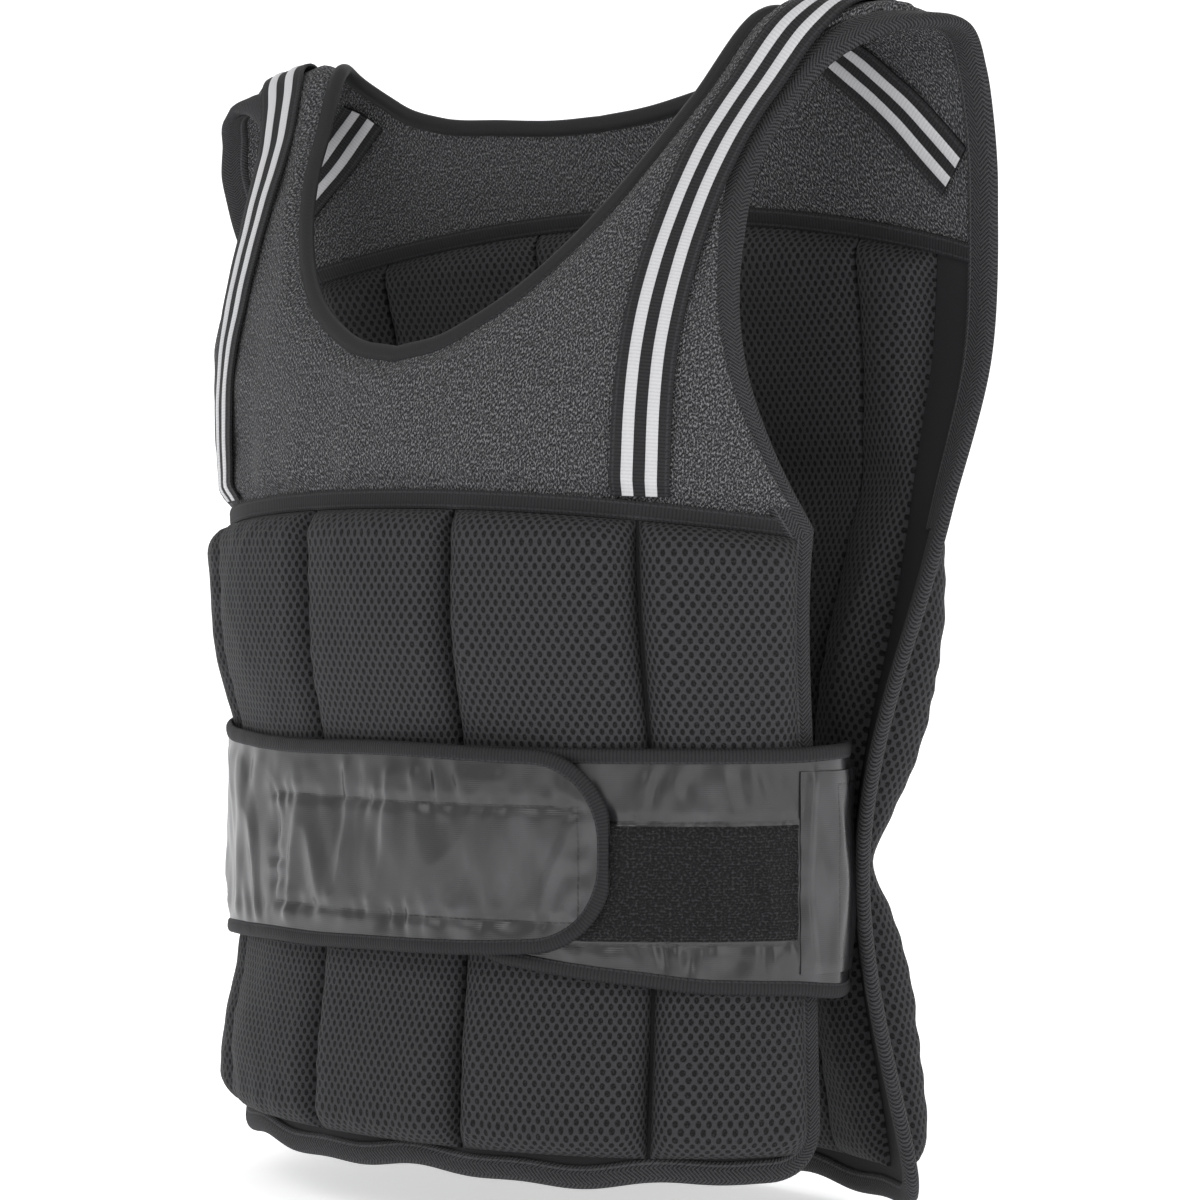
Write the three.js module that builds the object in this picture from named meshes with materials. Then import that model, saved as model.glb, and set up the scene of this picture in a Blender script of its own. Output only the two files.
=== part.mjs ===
import * as THREE from 'three';

// A weighted vest held in its worn shape. Lengths are millimetres, the front faces -Y, up is +Z and
// the origin is the middle of the line over both shoulders.
// Every soft piece is laid out on one form with three garment coordinates:
//   across  distance from the centre line over the cloth, positive to the wearer's left
//   along   distance up the front from the hem, over the shoulder and down the back
//   out     distance off the inner face of the cloth, positive away from the wearer

// Sizes of the cloth and its padding
const panelThickness = 2.4;
const yokeThickness = 7;
const yokeRimInset = 0.6;
const pocketHeight = 15;
const pocketHeightUnderBelt = 6;
const backPadHeight = 13;
const innerPadHeight = 10;
const pocketSpacing = 1.6;
const layerGap = 0.8;
const innerLayerGap = 1.3;
const pieceGap = 0.4;
const foldGap = 0.9;
const neckFoldGap = 0.6;
const edgeGap = 1.5;

// Half widths of the front panel and of its pocket columns
const sideEdge = 206;
const centreColumnHalf = 43;
const middleColumnEdge = 130;
const frontColumnMargin = 9.5;
const backColumnMargin = 15;

// Heights along the garment where rows of pockets begin and end
const frontHem = 0;
const hemMargin = 13;
const frontRowSplit = 150;
const frontYokeSeam = 297;
const frontSeamDroop = 11;
const shoulderJoin = 563;
const backYokeSeam = 650;
const backSeamDroop = 19;
const backRowEdges = [652, 779, 950];
const backHem = 1100;
const armholeBottomBack = 800;

// Belt: two halves sewn inside the back edges, the right half laid over the left one at the front
const beltThickness = 1.8;
const beltSkin = beltThickness / 2;
const beltAlongFront = 137;
const beltAlongBack = 950;
const beltOut = 15.4;
const beltOverlapOut = 21.2;
const beltAnchorOut = -8;
const beltBindingWidth = 8;
const beltCornerRadius = 34;

// Bindings and tapes
const bindingThickness = 1.2;
const neckBindingWidth = 6.5;
const armBindingWidth = 12;
const hemBindingWidth = 9;
const seamTapeWidth = 8.5;
const tapeThickness = 1.1;
const shoulderTapeWidth = 25;
const stripeWidth = 6;
const stripeSpacing = 4;
const stripeThickness = 0.5;
const loopPatchWidth = 50;
const loopPatchLow = -151;
const hookPatchLow = -143;
const anchorLow = -166;
const anchorHeight = 88;
const rightAnchorLow = -154;
const rightAnchorHeight = 79;
const patchThickness = 1.2;

// Shoulder top of the form above the front hem, used to put the origin on the shoulders
const shoulderLevel = 264;

// Cross sections of the form at stations along the garment. y and z place the centre line, face is
// the direction the cloth looks (0 front, 90 up, 180 back), turn is how far the section has turned
// 200 mm from the centre line, even is the share of that turn spread evenly, skew and tilt push the
// wearer's left side back and up for each millimetre across.
const sections = [
  { at: 'front hem', y: -118, z: -256, face: 0, turn: 72, even: 0.55, skew: 0, tilt: 0 },
  { at: 'front waist', y: -114, z: -110, face: 0, turn: 78, even: 0.5, skew: 0, tilt: 0 },
  { at: 'front seam', y: -122, z: 41, face: 3, turn: 68, even: 0.5, skew: 0, tilt: 0 },
  { at: 'neckline', y: -112, z: 112, face: 14, turn: 52, even: 0.55, skew: 0.02, tilt: 0.01 },
  { at: 'chest', y: -84, z: 172, face: 32, turn: 36, even: 0.6, skew: 0.05, tilt: 0.02 },
  { at: 'slope', y: -52, z: 220, face: 44, turn: 26, even: 0.6, skew: 0.08, tilt: 0.03 },
  { at: 'ridge', y: -12, z: 260, face: 88, turn: 14, even: 0.6, skew: 0.1, tilt: 0.036 },
  { at: 'nape', y: 12, z: 245, face: 134, turn: 11, even: 0.4, skew: 0.12, tilt: 0.06 },
  { at: 'back neck', y: 20, z: 222, face: 156, turn: 11, even: 0.3, skew: 0.14, tilt: 0.06 },
  { at: 'back seam', y: 31, z: 180, face: 166, turn: 12, even: 0.25, skew: 0.17, tilt: 0.02 },
  { at: 'blade', y: 49, z: 110, face: 172, turn: 16, even: 0.2, skew: 0.16, tilt: 0 },
  { at: 'back middle', y: 58, z: 36, face: 178, turn: 36, even: 0.3, skew: 0.1, tilt: 0 },
  { at: 'back waist', y: 60, z: -112, face: 180, turn: 60, even: 0.4, skew: 0, tilt: 0 },
  { at: 'back hem', y: 66, z: -268, face: 180, turn: 42, even: 0.4, skew: 0, tilt: 0 },
];

// Edge of the neck opening on one side, from the centre front over the shoulder to the centre back
const neckEdgePoints = [
  { across: 0, along: 364 },
  { across: 26, along: 369 },
  { across: 43, along: 378 },
  { across: 59, along: 390 },
  { across: 78, along: 413 },
  { across: 92, along: 439 },
  { across: 104, along: 471 },
  { across: 112, along: 504 },
  { across: 119, along: 534 },
  { across: 124, along: shoulderJoin },
  { across: 110, along: 583 },
  { across: 90, along: 592 },
  { across: 55, along: 598 },
  { across: 25, along: 602 },
  { across: 0, along: 603 },
];

// Edge of an armhole, from the underarm corner at the front over the shoulder to the back
const armEdgePoints = [
  { across: 206, along: 286 },
  { across: 192, along: 309 },
  { across: 176, along: 344 },
  { across: 163, along: 386 },
  { across: 155, along: 428 },
  { across: 151, along: 466 },
  { across: 155, along: 496 },
  { across: 164, along: 516 },
  { across: 178, along: 531 },
  { across: 193, along: 544 },
  { across: 200, along: 550 },
  { across: 205, along: 556.5 },
  { across: 208, along: shoulderJoin },
  { across: 210.5, along: 571 },
  { across: 212.5, along: 583 },
  { across: 213, along: 600 },
  { across: 211, along: 620 },
  { across: 208, along: 641 },
  { across: 204, along: 660 },
  { across: 197, along: 700 },
  { across: 193, along: 745 },
  { across: 196, along: armholeBottomBack },
];

// Side edge of the back panel under the armhole
const backSidePoints = [
  { across: 196, along: armholeBottomBack },
  { across: 200, along: 850 },
  { across: 197, along: 900 },
  { across: 194, along: 950 },
  { across: 197, along: 1000 },
  { across: 202, along: 1050 },
  { across: 205, along: backHem },
];

const materials = {
  denim: { color: 0x4c4c4e, roughness: 0.9 },
  airMesh: { color: 0x353537, roughness: 0.85 },
  lining: { color: 0x272729, roughness: 0.8 },
  twillBinding: { color: 0x3a3a3c, roughness: 0.85 },
  neckBinding: { color: 0x333335, roughness: 0.7 },
  tape: { color: 0x2c2c2e, roughness: 0.75 },
  reflective: { color: 0xd9dadc, roughness: 0.35 },
  satin: { color: 0x5a5a5d, roughness: 0.45 },
  loop: { color: 0x242426, roughness: 0.95 },
};

const group = new THREE.Group();
group.name = 'weighted_vest';

const radians = (degrees) => (degrees * Math.PI) / 180;
const clamp = (value, low, high) => Math.min(high, Math.max(low, value));
const mix = (a, b, share) => a + (b - a) * share;
const smoothStep = (low, high, value) => {
  const share = clamp((value - low) / (high - low), 0, 1);
  return share * share * (3 - 2 * share);
};

const sectionKeys = ['y', 'z', 'face', 'turn', 'even', 'skew', 'tilt'];
const sectionAlong = [0];
for (let i = 1; i < sections.length; i++) {
  const step = Math.hypot(sections[i].y - sections[i - 1].y, sections[i].z - sections[i - 1].z);
  sectionAlong.push(sectionAlong[i - 1] + step);
}

// Slope of one section value at a station, for smooth curves through the table
function sectionSlope(key, i) {
  const last = sections.length - 1;
  const before = Math.max(i - 1, 0);
  const after = Math.min(i + 1, last);
  if (before === i || after === i) {
    return (sections[after][key] - sections[before][key]) / (sectionAlong[after] - sectionAlong[before]);
  }
  const spanBefore = sectionAlong[i] - sectionAlong[before];
  const spanAfter = sectionAlong[after] - sectionAlong[i];
  const slopeBefore = (sections[i][key] - sections[before][key]) / spanBefore;
  const slopeAfter = (sections[after][key] - sections[i][key]) / spanAfter;
  return (slopeAfter * spanBefore + slopeBefore * spanAfter) / (spanBefore + spanAfter);
}

function sectionAt(along) {
  const last = sections.length - 1;
  const place = clamp(along, 0, sectionAlong[last]);
  let i = 0;
  while (i < last - 1 && sectionAlong[i + 1] <= place) i++;
  const span = sectionAlong[i + 1] - sectionAlong[i];
  const u = (place - sectionAlong[i]) / span;
  const beyond = along - place;
  const values = {};
  for (const key of sectionKeys) {
    const slopeA = sectionSlope(key, i);
    const slopeB = sectionSlope(key, i + 1);
    values[key] = (2 * u ** 3 - 3 * u ** 2 + 1) * sections[i][key]
      + (u ** 3 - 2 * u ** 2 + u) * span * slopeA
      + (3 * u ** 2 - 2 * u ** 3) * sections[i + 1][key]
      + (u ** 3 - u ** 2) * span * slopeB;
    if (key === 'y' || key === 'z') values[key] += beyond * (beyond < 0 ? slopeA : slopeB);
  }
  return values;
}

function clothPoint(across, along) {
  const row = sectionAt(along);
  const face = radians(row.face);
  const turn = radians(row.turn);
  const steps = 12;
  let x = 0;
  let drop = 0;
  for (let k = 0; k < steps; k++) {
    const reach = Math.abs(across * (k + 0.5)) / steps / 200;
    const angle = turn * (row.even * reach + (1 - row.even) * reach ** 3);
    x += (Math.cos(angle) * across) / steps;
    drop += (Math.sin(angle) * Math.abs(across)) / steps;
  }
  return new THREE.Vector3(
    x,
    row.y + drop * Math.cos(face) + row.skew * x,
    row.z - drop * Math.sin(face) + row.tilt * x,
  );
}

function formPoint(across, along, out) {
  const reach = 0.5;
  const sideways = clothPoint(across + reach, along).sub(clothPoint(across - reach, along));
  const upwards = clothPoint(across, along + reach).sub(clothPoint(across, along - reach));
  const normal = sideways.cross(upwards).normalize();
  return clothPoint(across, along).addScaledVector(normal, out);
}

function lowered(point) {
  return new THREE.Vector3(point.x, point.y, point.z - shoulderLevel);
}

function addMesh(name, materialName, points, triangles) {
  let volume = 0;
  const cross = new THREE.Vector3();
  for (const [a, b, c] of triangles) {
    volume += cross.crossVectors(points[b], points[c]).dot(points[a]);
  }
  const positions = points.flatMap((point) => {
    const moved = lowered(point);
    return [moved.x, moved.y, moved.z];
  });
  const index = triangles.flatMap(([a, b, c]) => (volume < 0 ? [a, c, b] : [a, b, c]));
  const geometry = new THREE.BufferGeometry();
  geometry.setAttribute('position', new THREE.Float32BufferAttribute(positions, 3));
  geometry.setIndex(index);
  geometry.computeVertexNormals();
  const mesh = new THREE.Mesh(geometry, new THREE.MeshStandardMaterial(materials[materialName]));
  mesh.name = name;
  group.add(mesh);
}

// Two triangles for a four sided patch, split along its shorter diagonal
function splitPatch(points, a, b, c, d) {
  if (points[a].distanceTo(points[c]) <= points[b].distanceTo(points[d])) return [[a, b, c], [a, c, d]];
  return [[a, b, d], [b, c, d]];
}

// Closed body between two grids of points of the same size
function addShell(name, materialName, outer, inner) {
  const rows = outer.length;
  const columns = outer[0].length;
  const points = [...outer.flat(), ...inner.flat()];
  const half = rows * columns;
  const at = (i, j, side) => i * columns + j + side * half;
  const triangles = [];
  const quad = (a, b, c, d) => triangles.push(...splitPatch(points, a, b, c, d));
  for (let i = 0; i < rows - 1; i++) {
    for (let j = 0; j < columns - 1; j++) {
      quad(at(i, j, 0), at(i, j + 1, 0), at(i + 1, j + 1, 0), at(i + 1, j, 0));
      quad(at(i, j, 1), at(i + 1, j, 1), at(i + 1, j + 1, 1), at(i, j + 1, 1));
    }
  }
  for (let j = 0; j < columns - 1; j++) {
    quad(at(0, j, 1), at(0, j + 1, 1), at(0, j + 1, 0), at(0, j, 0));
    quad(at(rows - 1, j, 0), at(rows - 1, j + 1, 0), at(rows - 1, j + 1, 1), at(rows - 1, j, 1));
  }
  for (let i = 0; i < rows - 1; i++) {
    quad(at(i, 0, 0), at(i + 1, 0, 0), at(i + 1, 0, 1), at(i, 0, 1));
    quad(at(i, columns - 1, 1), at(i + 1, columns - 1, 1), at(i + 1, columns - 1, 0), at(i, columns - 1, 0));
  }
  addMesh(name, materialName, points, triangles);
}

// Closed body swept along rings of points; section gives the flat outline for the end caps
function addSweep(name, materialName, rings, section, closed) {
  const size = section.length;
  const points = rings.flat();
  const triangles = [];
  const last = closed ? rings.length : rings.length - 1;
  for (let i = 0; i < last; i++) {
    const next = (i + 1) % rings.length;
    for (let j = 0; j < size; j++) {
      const k = (j + 1) % size;
      triangles.push(...splitPatch(points, i * size + j, i * size + k, next * size + k, next * size + j));
    }
  }
  if (!closed) {
    const outline = section.map(([x, y]) => new THREE.Vector2(x, y));
    const clockwise = THREE.ShapeUtils.isClockWise(outline);
    const offset = (rings.length - 1) * size;
    for (const face of THREE.ShapeUtils.triangulateShape(outline, [])) {
      const [a, b, c] = clockwise ? [face[0], face[2], face[1]] : face;
      triangles.push([c, b, a]);
      triangles.push([a + offset, b + offset, c + offset]);
    }
    if (clockwise) {
      for (let i = 0; i < last * size * 2; i++) triangles[i].reverse();
      for (let i = last * size * 2; i < triangles.length; i++) triangles[i].reverse();
    }
  }
  addMesh(name, materialName, points, triangles);
}

// Points of a table of rows, joined by straight runs and divided evenly into a number of steps
function divideRun(rows, steps) {
  const lengths = [0];
  for (let i = 1; i < rows.length; i++) {
    const step = Math.hypot(rows[i].across - rows[i - 1].across, rows[i].along - rows[i - 1].along);
    lengths.push(lengths[i - 1] + step);
  }
  const total = lengths[lengths.length - 1];
  const result = [];
  for (let k = 0; k <= steps; k++) {
    const place = (total * k) / steps;
    let i = 0;
    while (i < rows.length - 2 && lengths[i + 1] < place) i++;
    const share = (place - lengths[i]) / (lengths[i + 1] - lengths[i]);
    result.push({
      across: mix(rows[i].across, rows[i + 1].across, share),
      along: mix(rows[i].along, rows[i + 1].along, share),
    });
  }
  return result;
}

const frontSeamAlong = (across) => frontYokeSeam - frontSeamDroop * (across / sideEdge) ** 2;
const backSeamAlong = (across) => backYokeSeam + backSeamDroop * (across / 168) ** 2;

// Rings of a section laid along a path on the form; section points are [inward, out]
function ringsOnForm(path, section, place = formPoint) {
  return path.map((point) => section.map(([inward, out]) => place(
    point.across + point.inAcross * inward,
    point.along + point.inAlong * inward,
    out,
  )));
}

// Folded binding around a cloth edge: a U in section, open inwards
function bindingSection(width, low = -foldGap, high = panelThickness + foldGap) {
  const rim = -edgeGap - bindingThickness;
  return [
    [width, high + bindingThickness],
    [rim, high + bindingThickness],
    [rim, low - bindingThickness],
    [width, low - bindingThickness],
    [width, low],
    [-edgeGap, low],
    [-edgeGap, high],
    [width, high],
  ];
}

function flatSection(width, low, high, centre = 0) {
  return [
    [centre - width / 2, low],
    [centre + width / 2, low],
    [centre + width / 2, high],
    [centre - width / 2, high],
  ];
}

// Base panels of the front and the back, with lines where the pocket columns bend
const columnEdges = [-1, -middleColumnEdge, -centreColumnHalf, centreColumnHalf, middleColumnEdge, 1];
const columnShares = [0, 0.12, 0.5, 0.88, 1];
const cornerRound = 30;
const backCornerRound = 20;

// Where the lines of every column lie for a panel with this half width
function columnLines(half, margin) {
  const edge = half - margin;
  const lines = [-half];
  for (let column = 0; column < 5; column++) {
    const low = column === 0 ? -edge : columnEdges[column];
    const high = column === 4 ? edge : columnEdges[column + 1];
    for (const share of columnShares.slice(column === 0 ? 0 : 1)) lines.push(mix(low, high, share));
  }
  lines.push(half);
  return lines;
}

function frontHalfWidth(along) {
  const waist = 5 * Math.sin((Math.PI * clamp(along, 0, 290)) / 290);
  const corner = clamp(cornerRound - along, 0, cornerRound);
  return sideEdge - waist - (cornerRound - Math.sqrt(cornerRound ** 2 - corner ** 2)) * 0.6;
}

const backEdgeStart = armEdgePoints.findIndex((point) => point.along === 660);
const backEdgeRun = [...armEdgePoints.slice(backEdgeStart), ...backSidePoints.slice(1)];
function backHalfWidth(along) {
  let i = 0;
  while (i < backEdgeRun.length - 2 && backEdgeRun[i + 1].along < along) i++;
  const share = (along - backEdgeRun[i].along) / (backEdgeRun[i + 1].along - backEdgeRun[i].along);
  const half = mix(backEdgeRun[i].across, backEdgeRun[i + 1].across, share);
  const corner = clamp(along - (backHem - backCornerRound), 0, backCornerRound);
  return half - (backCornerRound - Math.sqrt(backCornerRound ** 2 - corner ** 2)) * 0.6;
}

// Rows of pocket lines: height 0 closes the pillow, alongAt follows a curved seam
const pocketTop = (across) => frontSeamAlong(across) - seamTapeWidth / 2 - pocketSpacing;
const lowerRows = [
  { along: frontHem + hemMargin, height: 0 },
  { along: frontHem + hemMargin + 12, height: pocketHeight * 0.9 },
  { along: 54, height: pocketHeight },
  { along: 80, height: pocketHeightUnderBelt },
  { along: frontRowSplit - pocketSpacing / 2, height: 0 },
];
const upperRows = [
  { along: frontRowSplit + pocketSpacing / 2, height: 0 },
  { along: frontRowSplit + 48, height: pocketHeightUnderBelt },
  { along: frontRowSplit + 72, height: pocketHeight },
  { along: 270, height: pocketHeight },
  { along: 285, height: 0, alongAt: pocketTop },
];
const backPadTop = (across) => backSeamAlong(across) + seamTapeWidth / 2 + pocketSpacing;
function backRows(height) {
  const [, firstSplit, secondSplit] = backRowEdges;
  const groove = height * 0.25;
  const bottom = backHem - hemMargin;
  return [
    { along: 670, height: 0, alongAt: backPadTop },
    { along: 692, height },
    { along: 727, height },
    { along: firstSplit - 16, height },
    { along: firstSplit, height: groove },
    { along: firstSplit + 16, height },
    { along: mix(firstSplit, secondSplit, 0.5), height },
    { along: secondSplit - 18, height },
    { along: secondSplit, height: groove },
    { along: secondSplit + 18, height },
    { along: bottom - 14, height },
    { along: bottom, height: 0 },
  ];
}

// The panels bend on the same rows as the pads, so that the layers stay clear of each other
function panelRows(levels, margin, halfWidth) {
  return levels.map((level) => {
    const alongAt = typeof level === 'function' ? level : () => level;
    const lines = columnLines(halfWidth(alongAt(sideEdge)), margin);
    return lines.map((across) => ({ across, along: alongAt(across) }));
  });
}
const layer = (rows, out) => rows.map((row) => row.map((point) => formPoint(point.across, point.along, out)));
const innerLevels = (rows) => rows.slice(1, -1).map((row) => row.along);

const frontPanelTop = (across) => frontSeamAlong(across) - pieceGap;
const frontLevels = [
  frontHem, 9, ...innerLevels(lowerRows), frontRowSplit, ...innerLevels(upperRows), frontPanelTop,
];
const frontPanelRows = panelRows(frontLevels, frontColumnMargin, frontHalfWidth);
addShell('front_panel', 'lining', layer(frontPanelRows, panelThickness), layer(frontPanelRows, 0));

const backPanelTop = (across) => backSeamAlong(across) + pieceGap;
const backLevels = [backPanelTop, ...innerLevels(backRows(0)), backHem - 7, backHem];
const backPanelRows = panelRows(backLevels, backColumnMargin, backHalfWidth);
addShell('back_panel', 'lining', layer(backPanelRows, panelThickness), layer(backPanelRows, 0));

// Yokes: grids that run from the neck edge out to the armholes and the yoke seam. Both edges stay
// thin under their binding and the padding rises between them.
const neckMargin = 8.5;
const armMargin = 15;
const seamMargin = 6;
const paddingRise = 11;
const backCornerAcross = backHalfWidth(backSeamAlong(sideEdge));
const frontSpokeSteps = { arm: 12, seam: 5 };
const backSpokeSteps = { arm: 6, seam: 5 };
const frontCornerShare = 0.62;
const backCornerShare = 0.25;

const mirrorPoint = (point) => ({ ...point, across: -point.across, inAcross: -point.inAcross });

// Adds to each point of a path the direction into the cloth, square to the path
function withInward(path, closed = false) {
  const count = path.length;
  return path.map((point, i) => {
    const before = closed ? path[(i + count - 1) % count] : path[Math.max(i - 1, 0)];
    const after = closed ? path[(i + 1) % count] : path[Math.min(i + 1, count - 1)];
    const length = Math.hypot(after.across - before.across, after.along - before.along);
    const inAcross = -(after.along - before.along) / length;
    const inAlong = (after.across - before.across) / length;
    return { ...point, inAcross, inAlong };
  });
}

const moveIn = (point, distance) => ({
  across: point.across + point.inAcross * distance,
  along: point.along + point.inAlong * distance,
});
const moveAlong = (point, change) => ({ ...point, along: point.along + change });

const neckSplit = neckEdgePoints.findIndex((point) => point.along === shoulderJoin);
const armSplit = armEdgePoints.findIndex((point) => point.along === shoulderJoin);
const frontNeckSteps = frontSpokeSteps.arm + frontSpokeSteps.seam;
const backNeckSteps = backSpokeSteps.arm + backSpokeSteps.seam;

// Divides a run in two parts, so many steps before the corner and so many after it
function divideAtCorner(rows, cornerShare, steps) {
  const fine = divideRun(rows, 400);
  const places = [];
  for (let k = 0; k <= steps.arm; k++) places.push((cornerShare * k) / steps.arm);
  for (let k = 1; k <= steps.seam; k++) places.push(mix(cornerShare, 1, k / steps.seam));
  return places.map((place) => fine[Math.round(place * 400)]);
}

const frontNeck = divideAtCorner(
  neckEdgePoints.slice(0, neckSplit + 1).reverse(), frontCornerShare, frontSpokeSteps,
);
const backNeck = divideAtCorner(neckEdgePoints.slice(neckSplit), backCornerShare, backSpokeSteps);
const neckHalf = [...backNeck.slice(1).reverse(), ...frontNeck];
const neckLoop = withInward([
  ...neckHalf,
  ...neckHalf.slice(1, -1).reverse().map(mirrorPoint),
], true);
const neckJoin = backNeckSteps;

const frontCorner = { across: sideEdge, along: frontSeamAlong(sideEdge) + pieceGap };
const backCorner = { across: backCornerAcross, along: backSeamAlong(backCornerAcross) - pieceGap };
const frontArm = [frontCorner, ...armEdgePoints.slice(1, armSplit + 1)];
const backArm = [...armEdgePoints.slice(armSplit, backEdgeStart), backCorner];
const lastLine = backPanelRows[0].length - 1;
const armSide = backPanelRows.map((row) => row[lastLine]).filter((point) => point.along < armholeBottomBack - 2);
const armPath = withInward([
  { across: frontCorner.across, along: frontCorner.along + pieceGap * 2 },
  { across: frontCorner.across, along: frontCorner.along + 3 },
  ...frontArm.slice(1),
  ...backArm.slice(1, -1),
  ...armSide,
  { across: backHalfWidth(armholeBottomBack), along: armholeBottomBack - pieceGap },
]);
const armJoin = 1 + frontSpokeSteps.arm;

function seamPoints(half, alongOf, change, inAlong, steps) {
  const points = [];
  for (let k = 1; k <= steps; k++) {
    const across = half * (1 - k / steps);
    points.push({ across, along: alongOf(across) + change, inAcross: 0, inAlong, margin: seamMargin });
  }
  return points;
}

// Outer ends of the spokes; at the corner the flat edge is as wide as both margins
function cornerPoint(point, alongSign) {
  return { ...point, inAcross: -1, inAlong: (alongSign * seamMargin) / armMargin, margin: armMargin };
}
const frontOuter = [
  ...armPath.slice(2, armJoin + 1).reverse().map((point) => ({ ...point, margin: armMargin })),
  cornerPoint(frontCorner, 1),
  ...seamPoints(sideEdge, frontSeamAlong, pieceGap, 1, frontSpokeSteps.seam),
];
const backOuter = [
  ...armPath.slice(armJoin, armJoin + backSpokeSteps.arm).map((point) => ({ ...point, margin: armMargin })),
  cornerPoint(backCorner, -1),
  ...seamPoints(backCornerAcross, backSeamAlong, -pieceGap, -1, backSpokeSteps.seam),
];
const frontInner = neckLoop.slice(neckJoin, neckJoin + frontNeckSteps + 1);
const backInner = neckLoop.slice(0, neckJoin + 1).reverse();

function addYoke(name, innerEnds, outerEnds, joinChange) {
  const half = innerEnds.map((inner, k) => {
    const outer = outerEnds[k];
    const rise = neckMargin + paddingRise;
    const fall = outer.margin + paddingRise;
    const nearNeck = moveIn(inner, rise);
    const nearEdge = moveIn(outer, fall);
    const rim = { low: yokeRimInset, high: panelThickness - yokeRimInset };
    const padding = { low: 0, high: yokeThickness };
    const rings = [
      { ...inner, ...rim },
      { ...moveIn(inner, neckMargin), ...rim },
      { ...nearNeck, ...padding },
      {
        across: mix(nearNeck.across, nearEdge.across, 0.5),
        along: mix(nearNeck.along, nearEdge.along, 0.5),
        ...padding,
      },
      { ...nearEdge, ...padding },
      { ...moveIn(outer, outer.margin), ...rim },
      { ...outer, ...rim },
    ];
    return k === 0 ? rings.map((ring) => moveAlong(ring, joinChange)) : rings;
  });
  const all = [...half, ...half.slice(0, -1).reverse().map((rings) => rings.map(mirrorPoint))];
  const grid = (face) => all.map((rings) => rings.map(
    (ring) => formPoint(ring.across, ring.along, ring[face]),
  ));
  addShell(name, 'denim', grid('high'), grid('low'));
}
addYoke('front_yoke', frontInner, frontOuter, -pieceGap / 2);
addYoke('back_yoke', backInner, backOuter, pieceGap / 2);

// Pockets and pads: closed pillows on the panels
const padSide = 1.4;

function addPad(name, low, high, rows, base, direction) {
  const grid = (raised) => rows.map((row) => columnShares.map((share) => {
    const edge = share === 0 || share === 1;
    const height = edge || row.height === 0 ? padSide : row.height * (share === 0.5 ? 1 : 0.86);
    const across = mix(low(row.along), high(row.along), share);
    const along = row.alongAt ? row.alongAt(across) : row.along;
    return formPoint(across, along, base + direction * (raised ? height : 0));
  }));
  addShell(name, 'airMesh', grid(true), grid(false));
}

function columnRange(column, halfWidth, margin) {
  const edge = (along) => halfWidth(along) - margin - pocketSpacing;
  const low = (along) => (column === 0 ? -edge(along) : columnEdges[column] + pocketSpacing / 2);
  const high = (along) => (column === 4 ? edge(along) : columnEdges[column + 1] - pocketSpacing / 2);
  return [low, high];
}

const outerBase = panelThickness + layerGap;
for (let column = 0; column < 5; column++) {
  const [low, high] = columnRange(column, frontHalfWidth, frontColumnMargin);
  addPad(`front_pocket_upper_${column + 1}`, low, high, upperRows, outerBase, 1);
  addPad(`front_pocket_lower_${column + 1}`, low, high, lowerRows, outerBase, 1);
}

for (let column = 0; column < 5; column++) {
  const [low, high] = columnRange(column, backHalfWidth, backColumnMargin);
  addPad(`back_pad_outer_${column + 1}`, low, high, backRows(backPadHeight), outerBase, 1);
}
// Inside pads stop short of the sides, where the belt is sewn to the plain margin
const innerPadMargin = 31;
for (let column = 0; column < 5; column++) {
  const [low, high] = columnRange(column, backHalfWidth, innerPadMargin);
  addPad(`back_pad_inner_${column + 1}`, low, high, backRows(innerPadHeight), -innerLayerGap, -1);
}

// Bindings round the cloth edges
const neckSection = bindingSection(neckBindingWidth, -neckFoldGap, panelThickness + neckFoldGap);
addSweep('neck_binding', 'neckBinding', ringsOnForm(neckLoop, neckSection), neckSection, true);

const armSection = bindingSection(armBindingWidth, -1.7, panelThickness + 1.2);
addSweep('armhole_binding_left', 'twillBinding', ringsOnForm(armPath, armSection), armSection, false);
addSweep('armhole_binding_right', 'twillBinding',
  ringsOnForm(armPath.map(mirrorPoint), armSection), armSection, false);

// Side and hem bindings run down one side, along the hem and up the other side
function edgePath(rows, hemRow, sideRows) {
  const side = sideRows.map((row) => row[row.length - 1]);
  const hem = hemRow.slice(1, -1).reverse();
  return [...side, ...hem, ...sideRows.slice().reverse().map((row) => row[0])];
}
const frontSideRows = frontPanelRows.slice().reverse();
const frontEdge = edgePath(frontPanelRows, frontPanelRows[0], frontSideRows);
frontEdge[0] = moveAlong(frontEdge[0], -pieceGap * 7);
frontEdge[frontEdge.length - 1] = moveAlong(frontEdge[frontEdge.length - 1], -pieceGap * 7);
const hemSection = bindingSection(hemBindingWidth, -foldGap - 0.2, panelThickness + foldGap + 0.2);
const reversed = (path) => path.map((point) => ({
  ...point,
  inAcross: -point.inAcross,
  inAlong: -point.inAlong,
}));
addSweep('front_edge_binding', 'twillBinding',
  ringsOnForm(reversed(withInward(frontEdge)), hemSection), hemSection, false);

const backStart = { across: backHalfWidth(armholeBottomBack), along: armholeBottomBack + pieceGap };
const backSideRows = backPanelRows.filter((row) => row[0].along > armholeBottomBack + 2);
const backEdge = [
  backStart,
  ...edgePath(backPanelRows, backPanelRows[backPanelRows.length - 1], backSideRows),
  mirrorPoint(backStart),
];
addSweep('back_edge_binding', 'twillBinding',
  ringsOnForm(withInward(backEdge), hemSection), hemSection, false);

// Flat tapes laid on the outside (side 1) or the inside (side -1) of the cloth
function addTape(name, materialName, path, width, low, high, centre = 0) {
  const section = flatSection(width, low, high, centre);
  addSweep(name, materialName, ringsOnForm(path, section), section, false);
}

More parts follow.
